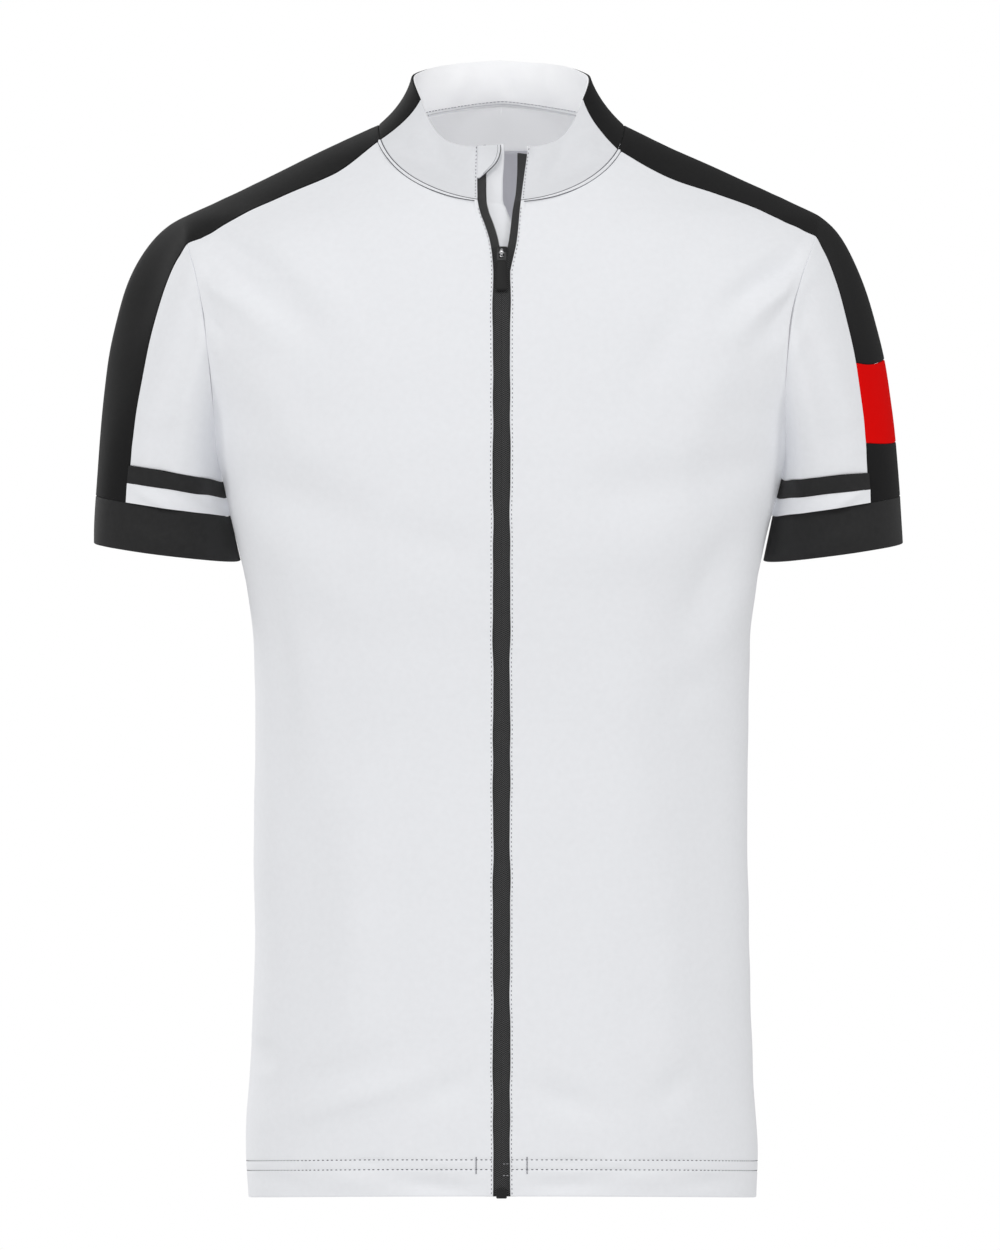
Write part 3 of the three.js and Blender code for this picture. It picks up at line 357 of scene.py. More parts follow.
def trunk_half(side, face):
    """Half of the front or back, from the hem up to the stripe and from the centre to the side."""
    if face < 0:
        top_turn, neck_share = opening_turn(side), FRONT_NECK_SHARE
    else:
        top_turn, neck_share = 1, BACK_NECK_SHARE
    top_z = neck_seam(top_turn)[0, 2]

    def flattened(seam):
        return np.stack([turn_at(seam[..., 0], seam[..., 2], face), seam[..., 2]], axis=-1)

    def centre(z):
        if face > 0:
            return np.stack([np.full_like(z, math.pi / 2), z], axis=-1)
        return np.stack([turn_at(opening_at(side, z), z, face), z], axis=-1)

    def left(v):
        below = centre(lerp(UNDERARM_Z, top_z, np.clip(v / neck_share, 0, 1)))
        share = np.clip((v - neck_share) / (1 - neck_share), 0, 1)
        seam = neck_seam(lerp(top_turn, neck_turn(side, face), share))
        above = flattened(seam)
        return np.where((v <= neck_share)[..., None], below, above)

    def right(v):
        return flattened(armhole(side, face, v))

    def top(u):
        return flattened(stripe_edge(side, face, u))

    start_turn = float(centre(np.array([float(UNDERARM_Z)]))[0, 0])

    def bottom(u):
        return np.stack([lerp(start_turn, 0, u), np.full_like(u, UNDERARM_Z)], axis=-1)

    def upper(u, v):
        pair = coons(bottom, top, left, right, u, v)
        return trunk_point(pair[..., 0], pair[..., 1], face)

    def lower(u, rise):
        lift = HEM_LIFT * (1 - rise / (UNDERARM_Z - HEM_Z)) if face < 0 else np.zeros_like(rise)
        z = HEM_Z + rise
        turn = lerp(centre(z + lift)[..., 0], 0, u)
        return trunk_point(turn, z + lift * np.sin(turn), face)

    even = np.linspace(0, 1, 25)
    start = STITCH_MARKS if face < 0 else START

    rises = marks(UNDERARM_Z - HEM_Z, STEP, EDGE_MARKS, [0.0], HEM_STITCHES)
    row_length = lengths(lower(*np.meshgrid(even, rises)), 1)[:, -1]
    low = lower(spread(row_length, STEP, start, EDGE_MARKS), rises[:, None] + np.zeros((1, 1)))

    to_neck = spread(UPPER_LENGTH * neck_share, STEP, START, START)[0] * neck_share
    above = spread(UPPER_LENGTH * (1 - neck_share), FINE_STEP, START, EDGE_MARKS)[0]
    shares = np.concatenate([to_neck[1:], lerp(neck_share, 1, above[1:])])
    row_length = lengths(upper(*np.meshgrid(even, shares)), 1)[:, -1]
    across = spread(row_length, STEP, start, EDGE_MARKS, low.shape[1])
    high = upper(across, shares[:, None] + np.zeros((1, 1)))
    return dict(
        points=np.concatenate([low, high]),
        underarm_row=len(rises) - 1,
        neck_row=len(rises) - 1 + len(to_neck) - 1,
    )


# The stripes over the shoulders, and the sleeves
def arm_edge(side, share):
    """The stripe's end on the armhole, from the front (0) to the back (1)."""
    front, back = stripe_edge(side, -1, np.ones(1))[0], stripe_edge(side, 1, np.ones(1))[0]
    x = lerp(front[0], back[0], share) + STRIPE_BULGE * np.sin(share * math.pi)
    y = lerp(front[1], back[1], share)
    return np.stack([x, y, roof_height(x, y)], axis=-1)


def shoulder(side):
    """The stripe over the shoulder: rows from the neck to the armhole, columns from front to back."""
    front_turn, back_turn = neck_turn(side, -1), neck_turn(side, 1)
    dense = np.linspace(0, 1, 81)
    edges = [
        traced(stripe_edge(side, -1, dense)[:, :2]),
        traced(stripe_edge(side, 1, dense)[:, :2]),
        traced(neck_seam(lerp(front_turn, back_turn, dense))[:, :2]),
        traced(arm_edge(side, dense)[:, :2]),
    ]

    def patch(u, w):
        plan = coons(*edges, u, w)
        return np.stack([plan[..., 0], plan[..., 1], roof_height(plan[..., 0], plan[..., 1])], axis=-1)

    even = np.linspace(0, 1, 21)
    length = lengths(patch(*np.meshgrid(even, even)), 1)[:, -1].mean()
    along_marks = spread(length, FINE_STEP, EDGE_MARKS, START)[0]
    widths = lengths(patch(*np.meshgrid(along_marks, even, indexing="ij")), 1)[:, -1]
    across = spread(widths, FINE_STEP, EDGE_MARKS, EDGE_MARKS, STRIPE_COLUMNS)
    return patch(along_marks[:, None] + np.zeros_like(across), across), across[-1]


def cuff_point(side, turn):
    """The cuff's edge at a turn: 0 outside, 90 in front, 180 inside, 270 behind."""
    c, s = np.cos(np.radians(turn)), np.sin(np.radians(turn))
    across = (np.sign(c) * np.abs(c) ** (2 / CUFF_POWER) + 1) / 2
    deep = np.sign(s) * np.abs(s) ** (2 / CUFF_POWER)
    return np.stack([
        lerp(CUFF_INNER[0], side["cuff_x"], across),
        lerp(CUFF_INNER[1], CUFF_OUTER_YZ[0], across) - CUFF_HALF_DEPTH * deep,
        lerp(CUFF_INNER[2], CUFF_OUTER_YZ[1], across) - CUFF_DIP * np.clip(deep, 0, 1),
    ], axis=-1)


def sleeve_start(side, turn):
    """The direction and pull with which the sleeve's cloth leaves the armhole."""
    from_top = np.where(turn > 180, np.abs(360 - turn), turn)
    face = np.where((turn > 180) & (turn < 360), -1, 1)
    rows = table("turn x y z length", [(0, *side["crown"]), *SLEEVE_START])
    x, y, z, length = [along(rows, "turn", name, from_top) for name in ("x", "y", "z", "length")]
    return np.stack([x, y * face, z], axis=-1) * length[..., None]


def sleeve_end(turn):
    inward = (1 - np.cos(np.radians(turn))) / 2
    x, z, length = [lerp(a, b, inward) for a, b in zip(SLEEVE_END_OUTER, SLEEVE_END_INNER)]
    return np.stack([x * length, np.zeros_like(x), z * length], axis=-1)


def ring(side, place):
    """The sleeve's lines by their place round it: 0 the stripe's front edge, 1 under the arm,
    2 its back edge, 3 the front edge again. Gives each line's start on the armhole and its turn."""
    dense = np.linspace(0, 1, 121)
    starts = np.concatenate([
        armhole(side, -1, 1 - dense), armhole(side, 1, dense)[1:], arm_edge(side, 1 - dense)[1:],
    ])
    back = STRIPE_BACK["cuff_angle"]
    turns = np.interp(place, [0, 1, 2, 3], [side["cuff_angle"], 180, 360 - back, 360 + side["cuff_angle"]])
    return traced(starts)(np.asarray(place) / 3), turns


def sleeve_lines(side, place):
    """Points down the sleeve's lines at close even parameters, and their running lengths."""
    starts, turns = ring(side, place)
    ends, leave, reach = cuff_point(side, turns), sleeve_start(side, turns), sleeve_end(turns)
    t = np.linspace(0, 1, 161)[:, None, None]
    points = hermite(starts[None], leave[None], ends[None], reach[None], t)
    return points, lengths(points, 0)


def sleeve_lengths(side, place):
    """The lengths at which each seam crosses each line, by the name of the seam."""
    points, running = sleeve_lines(side, place)
    total = running[-1]
    t = np.linspace(0, 1, len(points))
    band = total - (CUFF_DEPTH + INSET_DEPTH + BAND_DEPTH)
    block, block_end = [], []
    for line in range(points.shape[1]):
        band_t = np.interp(band[line], running[:, line], t)
        block.append(np.interp(band_t * ACCENT_START, t, running[:, line]))
        block_end.append(np.interp(band_t * ACCENT_END, t, running[:, line]))
    middle = np.sin(np.clip(place - 2, 0, 1) * math.pi)
    under = np.clip(1 - np.abs(1 - place), 0, 1)
    return dict(
        armhole=np.zeros_like(total),
        block=np.array(block) + ACCENT_START_LOWER[0] + ACCENT_START_LOWER[1] * middle,
        block_end=np.array(block_end) + ACCENT_END_LOWER[0] + ACCENT_END_LOWER[1] * middle,
        band=band + lerp(*side["band_shift"], under),
        inset=total - (CUFF_DEPTH + INSET_DEPTH) + lerp(*side["inset_shift"], under),
        cuff=total - CUFF_DEPTH, edge=total,
    )


def sleeve_part(side, first, last, place, start=EDGE_MARKS, end=EDGE_MARKS, step=FINE_STEP):
    """Part of the sleeve between two seams: rows down the sleeve, columns round it."""
    points, running = sleeve_lines(side, place)
    seams = sleeve_lengths(side, place)
    begin, finish = seams[first], seams[last]
    shares = spread(finish - begin, step, np.asarray(start), np.asarray(end))
    grid = np.empty((shares.shape[1], len(place), 3))
    for line in range(len(place)):
        at = lerp(begin[line], finish[line], shares[line])
        grid[:, line] = between(at, running[:, line], points[:, line])
    return grid


def round_places(side, first, last, step=FINE_STEP, closed=False):
    """Places round the sleeve with close marks at the seams on either side."""
    even = np.linspace(first, last, 200)
    points, _ = sleeve_lines(side, even)
    middle = lengths(points[100:101], 1)[0]
    end = START if closed else EDGE_MARKS
    shares = spread(middle[-1], step, end, end)[0]
    return np.interp(shares * middle[-1], middle, even)


# The collar
def collar_surface(side, turns, shares):
    """Points of the collar at turns of the neck seam (rows of the grid are shares of its height)."""
    front_turn, back_turn = neck_turn(side, -1), neck_turn(side, 1)
    table_rows = table("turn angle", [
        (-1, -90), (front_turn, COLLAR_STRIPE_FRONT), (0, 0), (back_turn, COLLAR_STRIPE_BACK), (1, 90),
    ])
    base = neck_seam(turns)
    angle = along(table_rows, "turn", "angle", turns)
    depth = np.where(angle < 0, COLLAR_TOP_FRONT, COLLAR_TOP_BACK)
    top = np.stack([
        COLLAR_TOP_HALF * np.clip(np.cos(np.radians(angle)), 0, 1),
        depth * np.sin(np.radians(angle)) + COLLAR_SHIFT,
        along(COLLAR_TOP, "angle", "z", angle),
    ], axis=-1)
    middle = (base + top) / 2 * (1, 1, 0)
    inward = -middle / np.linalg.norm(middle, axis=-1, keepdims=True) * COLLAR_HOLLOW
    t = np.asarray(shares)[:, None, None]
    points = lerp(base[None], top[None], t) + inward[None] * 4 * t * (1 - t)
    first = opening_turn(side)
    if turns[0] < front_turn - 1e-6:
        nearness = np.clip(1 - (turns - first) / (front_turn - first) * 5, 0, 1)
        shift = opening_at(side, points[:, 0, 2]) - points[:, 0, 0]
        points[..., 0] += shift[:, None] * nearness[None]
    return points


def collar_part(side, first, last, start, end):
    """Part of the collar between two turns: rows from the neck seam up to the top edge."""
    shares = spread(COLLAR_HEIGHT, FINE_STEP, EDGE_MARKS, EDGE_MARKS)[0]
    even = np.linspace(first, last, 60)
    running = lengths(neck_seam(even)[None], 1)[0, :]
    places = spread(running[-1], FINE_STEP, start, end)[0] * running[-1]
    return collar_surface(side, np.interp(places, running, even), shares)


# From grids to shells
def unit(vectors):
    return vectors / np.maximum(np.linalg.norm(vectors, axis=-1, keepdims=True), 1e-9)


class Cloth:
    """The flat net of a piece: its points, the quads between them and its measures along the cloth."""

    def __init__(self, points, quads, flat):
        self.points, self.quads, self.flat = points, quads, flat
        a, b, c, d = (points[quads[:, k]] for k in range(4))
        turned = np.cross(c - a, d - b)
        outward = (a + c) / 2 * (1, 1, 0)
        if (turned * outward).sum() < 0:
            self.quads = quads[:, ::-1]
        self.area = np.linalg.norm(turned, axis=-1).sum() / 2
        self.normals = normals_of(points, self.quads)

    def border(self):
        """The edges that one quad uses only, in that quad's direction."""
        quads = self.quads
        first, second = quads.ravel(), np.roll(quads, -1, axis=1).ravel()
        count = len(self.points)
        key, back = first * count + second, second * count + first
        alone = ~np.isin(key, back)
        return first[alone], second[alone]


def normals_of(points, quads):
    a, b, c, d = (points[quads[:, k]] for k in range(4))
    turned = np.cross(c - a, d - b)
    total = np.zeros_like(points)
    for k in range(4):
        np.add.at(total, quads[:, k], turned)
    return unit(total)


def net(grid, closed=False):
    """One grid of points as a cloth. A closed grid's last column is its first one again."""
    rows, columns = grid.shape[:2]
    ids = np.arange(rows * columns).reshape(rows, columns)
    if closed:
        ids[:, -1] = ids[:, 0]
    quads = np.stack([ids[:-1, :-1], ids[:-1, 1:], ids[1:, 1:], ids[1:, :-1]], axis=-1).reshape(-1, 4)
    across, down = lengths(grid, 1), lengths(grid, 0)
    flat = np.stack([across - across[:, -1:] / 2, down], axis=-1)
    cloth = Cloth(grid.reshape(-1, 3), quads, flat.reshape(-1, 2))
    cloth.columns = columns
    return cloth


def halves(right, left, last_row):
    """Two mirrored grids as one cloth, joined down the middle as far as one row."""
    rows, columns = left.shape[:2]
    ids = np.arange(rows * columns * 2).reshape(2, rows, columns)
    ids[0, :last_row + 1, 0] = ids[1, :last_row + 1, 0]
    quads = []
    for half, turn in ((ids[0], -1), (ids[1], 1)):
        quad = np.stack([half[:-1, :-1], half[:-1, 1:], half[1:, 1:], half[1:, :-1]], axis=-1)
        quads.append(quad.reshape(-1, 4)[:, ::turn])
    down = lengths(left, 0)[:, -1:] + np.zeros((1, columns))
    flat = [np.stack([sign * lengths(grid, 1), down], axis=-1) for grid, sign in ((right, -1), (left, 1))]
    points = np.concatenate([right.reshape(-1, 3), left.reshape(-1, 3)])
    return Cloth(points, np.concatenate(quads), np.concatenate([f.reshape(-1, 2) for f in flat]))


CHUNK = 3000


def nearest(points, starts, ends):
    """Distance from each point to the nearest of some short edges."""
    step = ends - starts
    square = np.maximum((step * step).sum(1), 1e-12)
    best = np.empty(len(points))
    for low in range(0, len(points), CHUNK):
        to = points[low:low + CHUNK, None] - starts[None]
        t = np.clip((to * step[None]).sum(2) / square, 0, 1)
        gap = ((to - t[..., None] * step[None]) ** 2).sum(2)
        best[low:low + CHUNK] = np.sqrt(gap.min(1))
    return best


def distance_to(points, line):
    """Distance from each point to a line of points."""
    return nearest(points, line[:-1], line[1:])


def rolled(distance, radius):
    """How far the cloth's face drops towards an edge, in an arc of that radius."""
    share = np.clip(1 - distance / radius, 0, 1)
    return radius * (1 - np.sqrt(1 - share * share))


def added(name, mesh, material, body):
    """A mesh as an object of the scene and the body that it rides on."""
    mesh.materials.append(material)
    piece = bpy.data.objects.new(name, mesh)
    bpy.context.scene.collection.objects.link(piece)
    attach(piece, body)
    return piece


def made(name, points, faces, flat, material, body):
    """A mesh object from points in millimetres and faces of four corners."""
    mesh = bpy.data.meshes.new(name)
    mesh.vertices.add(len(points))
    mesh.vertices.foreach_set("co", (points * MM).ravel())
    mesh.loops.add(faces.size)
    mesh.loops.foreach_set("vertex_index", faces.ravel())
    mesh.polygons.add(len(faces))
    mesh.polygons.foreach_set("loop_start", np.arange(0, faces.size, faces.shape[1]))
    mesh.polygons.foreach_set("use_smooth", np.ones(len(faces), bool))
    if flat is not None:
        layer = mesh.uv_layers.new(name="cloth")
        layer.data.foreach_set("uv", (flat * MM)[faces.ravel()].ravel())
    mesh.update(calc_edges=True)
    return added(name, mesh, material, body)


def shell(name, cloth, outer, inner, material, lining=None, body="garment"):
    """A closed thin shell between two faces of a cloth, the inner one in another material where given; the
    insides get a lighter copy of the white knit, painted light.
    """
    count = len(cloth.points)
    first, second = cloth.border()
    rim = np.stack([second, first, first + count, second + count], axis=-1)
    faces = np.concatenate([cloth.quads, cloth.quads[:, ::-1] + count, rim])
    flat = np.concatenate([cloth.flat, cloth.flat])
    piece = made(f"{name}_cloth", np.concatenate([outer, inner]), faces, flat, material, body)
    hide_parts(name)
    if lining:
        piece.data.materials.append(lining)
        inside = np.zeros(len(faces), int)
        inside[len(cloth.quads):len(cloth.quads) * 2] = 1
        piece.data.polygons.foreach_set("material_index", inside)
    return piece


# Finishes
def shader(name, colour, roughness, metallic=0.0, sheen=0.0, specular=0.3):
    """A plain finish, and its nodes, links and shader for more to be added."""
    material = bpy.data.materials.new(name)
    material.use_nodes = True
    nodes, links = material.node_tree.nodes, material.node_tree.links
    surface = nodes["Principled BSDF"]
    surface.inputs["Base Color"].default_value = (*colour, 1)
    surface.inputs["Roughness"].default_value = roughness
    surface.inputs["Metallic"].default_value = metallic
    surface.inputs["Specular IOR Level"].default_value = specular
    if sheen:
        surface.inputs["Sheen Weight"].default_value = sheen
        surface.inputs["Sheen Roughness"].default_value = 0.5
    return material, nodes, links, surface


def arithmetic(nodes, links, operation, *values):
    """A Math node. A value is a number or another node's output."""
    node = nodes.new("ShaderNodeMath")
    node.operation = operation
    for socket, value in zip(node.inputs, values):
        if isinstance(value, (int, float)):
            socket.default_value = value
        else:
            links.new(value, socket)
    return node.outputs[0]


def on_cloth(nodes, links):
    """A maker of Math nodes, and the places across and down the cloth as node outputs."""
    flat = nodes.new("ShaderNodeUVMap")
    flat.uv_map = "cloth"
    parts = nodes.new("ShaderNodeSeparateXYZ")
    links.new(flat.outputs[0], parts.inputs[0])

    def do(operation, *values):
        return arithmetic(nodes, links, operation, *values)

    return do, parts.outputs["X"], parts.outputs["Y"]


def raised(nodes, links, surface, height, strength, depth):
    """Raises the surface by a height, depth in millimetres."""
    bump = nodes.new("ShaderNodeBump")
    bump.inputs["Strength"].default_value = strength
    bump.inputs["Distance"].default_value = depth * MM
    links.new(height, bump.inputs["Height"])
    links.new(bump.outputs[0], surface.inputs["Normal"])


def blended(nodes, links, surface, share, low, high):
    """Colours the surface between two colours."""
    mix = nodes.new("ShaderNodeMix")
    mix.data_type = "RGBA"
    links.new(share, mix.inputs["Factor"])
    mix.inputs["A"].default_value = (*low, 1)
    mix.inputs["B"].default_value = (*high, 1)
    links.new(mix.outputs["Result"], surface.inputs["Base Color"])


def knit(name, colour, sheen, wale=0.75, course=0.6, depth=0.05, mottle=0.03, specular=0.25, painted_glow=0.0):
    """A fine knit: upright rows of small V-shaped loops, raised from the cloth's own measures.
    Its emission is painted light: the cloth gives off light evenly in its own colour, standing in for light
    that comes through it from the far side."""
    material, nodes, links, surface = shader(name, colour, 0.85, sheen=sheen, specular=specular)
    # painted light: the cloth gives off light in its own colour
    surface.inputs["Emission Color"].default_value = (*colour, 1)
    surface.inputs["Emission Strength"].default_value = painted_glow
    do, across, down = on_cloth(nodes, links)
    column = do("MULTIPLY", across, math.pi / (wale * MM))
    rib = do("ABSOLUTE", do("SINE", column))
    row = do("ADD", do("MULTIPLY", down, 2 * math.pi / (course * MM)), do("MULTIPLY", rib, 2.2))
    loop = do("MULTIPLY_ADD", do("COSINE", row), 0.25, 0.75)
    height = do("MULTIPLY", do("POWER", rib, 0.6), loop)
    raised(nodes, links, surface, height, 0.6, depth)

    place = nodes.new("ShaderNodeTexCoord")
    noise = nodes.new("ShaderNodeTexNoise")
    noise.inputs["Scale"].default_value = 260
    noise.inputs["Detail"].default_value = 3
    links.new(place.outputs["Object"], noise.inputs["Vector"])
    darker, lighter = [c * (1 - mottle) for c in colour], [min(1, c * (1 + mottle)) for c in colour]
    blended(nodes, links, surface, noise.outputs[0], darker, lighter)
    return material


def twill(name, colour):
    """Zip tape: herringbone ribs, each with a painted highlight, a light colour on its crest."""
    material, nodes, links, surface = shader(name, colour, 0.75, sheen=0.1)
    do, across, down = on_cloth(nodes, links)
    fold = do("PINGPONG", across, 1.35 * MM)
    slanted = do("ADD", down, fold)
    rib = do("MULTIPLY_ADD", do("SINE", do("MULTIPLY", slanted, 2 * math.pi / (1.35 * MM))), 0.5, 0.5)
    rib_painted_highlight = do("POWER", rib, 6)
    raised(nodes, links, surface, rib, 0.8, 0.15)
    # painted highlight: the crest of each rib is coloured lighter
    blended(nodes, links, surface, rib_painted_highlight, colour, [c * 14 for c in colour])
    return material


# painted light: the white knit gives off a little light of its own, flattening its shade
WHITE = knit("white_knit", (0.785, 0.795, 0.82), 0.15, painted_glow=0.15)
# painted shade: a darker copy of the white knit, with less emission, for the collar and the flap on it
COLLAR_WHITE_PAINTED_SHADE = knit("collar_knit_painted_shade", (0.74, 0.75, 0.775), 0.15, painted_glow=0.1)
# painted light: a lighter copy of the white knit that gives off light, for the insides of the body, collar
# and facing, which would lie in shade
INSIDE_WHITE_PAINTED_LIGHT = knit("inside_knit_painted_light", (0.91, 0.915, 0.93), 0.2, painted_glow=0.15)
BLACK = knit("black_knit", (0.0125, 0.0125, 0.0128), 0.03, mottle=0.12, specular=0.12)
CUFF_BLACK = knit(
    "cuff_knit", (0.027, 0.027, 0.0275), 0.06, wale=0.9, depth=0.08, mottle=0.15, specular=0.15,
)
RED = knit("red_knit", (0.82, 0.0035, 0.003), 0.0, specular=0.03)
TAPE = twill("zip_tape", (0.009, 0.009, 0.0092))
COIL = shader("zip_coil", (0.012, 0.012, 0.012), 0.5)[0]
LABEL = shader("bare_label", (0.6, 0.6, 0.645), 0.8)[0]
WHITE_THREAD = shader("white_thread", (0.85, 0.86, 0.88), 0.7)[0]
# painted shade: grey and dark thread for the stitches on white cloth, real stitches whose dark colour also
# stands for the shade round them, and for the cords of painted shade at the neck seam and the flap
GREY_THREAD_PAINTED_SHADE = shader("grey_thread_painted_shade", (0.2, 0.2, 0.23), 0.7)[0]
DARK_THREAD_PAINTED_SHADE = shader("dark_thread_painted_shade", (0.06, 0.06, 0.075), 0.7)[0]
PALE_THREAD = shader("pale_thread", (0.3, 0.3, 0.3), 0.7)[0]
LIGHT_THREAD = shader("light_thread", (0.4, 0.4, 0.42), 0.7)[0]
METAL = shader("slider_metal", (0.62, 0.62, 0.63), 0.25, metallic=1.0)[0]
PAINTED = shader("painted_metal", (0.012, 0.012, 0.0125), 0.4, specular=0.2)[0]
PLATE = shader("pull_plate", (0.03, 0.03, 0.031), 0.4, specular=0.25)[0]
RUBBER = shader("pull_rubber", (0.012, 0.012, 0.0122), 0.5, specular=0.2)[0]
PLASTIC = shader("box_plastic", (0.012, 0.012, 0.0122), 0.45)[0]


# Folds: soft ridges (+) and troughs (-), each from one point to another of the front or back view
# with its half width and height
def soft_lines(points, rows):
    """The sum of soft ridges and troughs at points given by x and z."""
    place = points[:, [0, 2]]
    total = np.zeros(len(points))
    for x1, z1, x2, z2, width, height in rows:
        start, step = np.array([x1, z1]), np.array([x2 - x1, z2 - z1])
        t = ((place - start) @ step) / (step @ step)
        gap = np.linalg.norm(place - start - np.clip(t, 0, 1)[:, None] * step, axis=1)
        fade = np.sin(np.clip(t, 0.06, 0.94) * math.pi) ** 0.7
        total += height * fade * np.exp(-(gap / width) ** 2)
    return total


WAVE_SIZES = ((210, 0.3), (170, 0.25), (130, 0.2), (96, 0.14), (74, 0.1), (52, 0.06), (41, 0.05))
WAVES = [
    (length, height, RNG.uniform(0, math.pi), RNG.uniform(0, 2 * math.pi))
    for length, height in WAVE_SIZES
    for _ in range(2)
]


def waves(points):
    """Slow unevenness that no cloth is free of."""
    total = np.zeros(len(points))
    for length, height, turn, start in WAVES:
        along_wave = points[:, 0] * math.cos(turn) + points[:, 2] * math.sin(turn)
        total += height * np.sin(along_wave * 2 * math.pi / length + start + points[:, 1] / 90)
    return total


FRONT_FOLDS = [
    # the wearer's left armhole
    (200, -75, 142, -123, 9, -1.7), (202, -91, 151, -135, 8, 1.3), (200, -106, 162, -146, 8, -1.3),
    (128, -104, 86, -176, 13, -0.9), (176, -60, 96, -92, 12, -0.8), (150, -150, 118, -214, 15, 0.8),
    # the wearer's right armhole
    (-197, -72, -152, -116, 10, -1.6), (-194, -93, -144, -138, 9, 1.2), (-176, -66, -109, -152, 15, -1.1),
    (-163, -60, -97, -133, 13, 0.8), (-120, -64, -80, -120, 16, -0.6), (-168, -150, -130, -215, 14, 0.8),
    # short creases beside the armholes
    (-206, -84, -176, -104, 4.5, -0.9), (-204, -100, -172, -116, 4.5, 0.7),
    (-200, -118, -178, -136, 5, -0.7),
    (-190, -66, -150, -92, 5, -0.8), (-196, -132, -180, -158, 5, 0.5),
    (205, -82, 172, -100, 4.5, -0.9), (204, -98, 168, -118, 4.5, 0.7), (200, -120, 176, -140, 5, -0.7),
    (186, -64, 146, -84, 5, -0.8), (196, -136, 180, -162, 5, 0.5),
    # the chest, where the cloth falls away below
    (-176, -224, -76, -265, 18, -1.3), (-80, -262, -8, -284, 18, -0.9), (-164, -256, -102, -310, 17, 1.1),
    (50, -243, 124, -231, 17, -1.0), (120, -232, 181, -214, 15, -1.1), (66, -280, 140, -262, 19, 0.7),
    # the waist
    (156, -256, 114, -337, 13, -1.4), (164, -284, 127, -368, 13, 1.2), (150, -330, 108, -388, 12, -0.8),
    (-156, -283, -134, -413, 13, -1.3), (-131, -308, -122, -440, 15, 0.9),
    (-150, -372, -138, -452, 11, -0.7),
    # long falls below it
    (-122, -411, -131, -568, 21, -1.0), (-66, -372, -73, -556, 25, -0.6), (-94, -450, -98, -622, 16, 0.7),
    (77, -334, 90, -503, 23, 0.8), (127, -372, 142, -569, 19, -0.9), (37, -450, 45, -607, 20, -0.5),
    (108, -480, 112, -640, 15, 0.6),
    # above the hem
    (-149, -647, -50, -616, 8, 1.1), (-150, -630, -64, -598, 11, -0.8), (-47, -632, -19, -614, 9, -0.9),
    (20, -623, 65, -639, 9, -1.0), (101, -632, 123, -614, 9, -0.9), (-158, -592, -153, -619, 9, -1.0),
    (128, -606, 158, -652, 9, -0.8),
    # the hem itself, pushed in between its stitches and its edge
    (-158, -685, -128, -688, 5, -0.8), (-68, -684, -17, -688, 5, -1), (15, -686, 66, -685, 5, -0.9),
    (116, -686, 152, -687, 5, -0.8), (-118, -682, -80, -684, 5, 0.5), (76, -681, 110, -682, 5, 0.5),
    (-136, -672, -116, -672, 4, 0.4), (-94, -671, -74, -672, 4, -0.4), (-48, -672, -30, -671, 4, 0.35),
    (34, -672, 52, -671, 4, -0.4), (64, -671, 84, -672, 4, 0.4), (102, -672, 128, -671, 4, -0.35),
    # the sleeves
    (-193, -112, -228, -196, 9, -1.0), (-206, -134, -235, -208, 8, 0.9), (-212, -186, -224, -228, 7, -0.7),
    (-239, -236, -214, -250, 3.5, -0.7), (-224, -234, -198, -246, 3.5, 0.5),
    (-206, -236, -188, -247, 3.5, -0.6),
    (191, -112, 226, -198, 9, -1.0), (208, -136, 232, -207, 8, 0.9), (212, -188, 223, -228, 7, -0.7),
    (237, -236, 213, -250, 3.5, -0.7), (222, -235, 197, -246, 3.5, 0.5),
    (-250, -262, -196, -276, 6, 0.8), (-262, -274, -204, -290, 5, -0.7),
    (248, -262, 196, -276, 6, 0.8), (258, -274, 204, -290, 5, -0.7),
    # the collar
    (-47, -6, -30, -34, 5, -0.7), (-60, -2, -50, -26, 5, 0.6), (-24, -14, -18, -38, 4.5, 0.5),
    (-66, -14, -30, -36, 4.5, -0.6), (-42, -18, -20, -30, 4, 0.4),
    (44, -6, 30, -36, 5, -0.7), (60, -4, 54, -24, 5, 0.6), (26, -16, 21, -38, 4.5, 0.5),
    (66, -16, 34, -38, 4.5, -0.6), (40, -14, 24, -28, 4, 0.4),
]
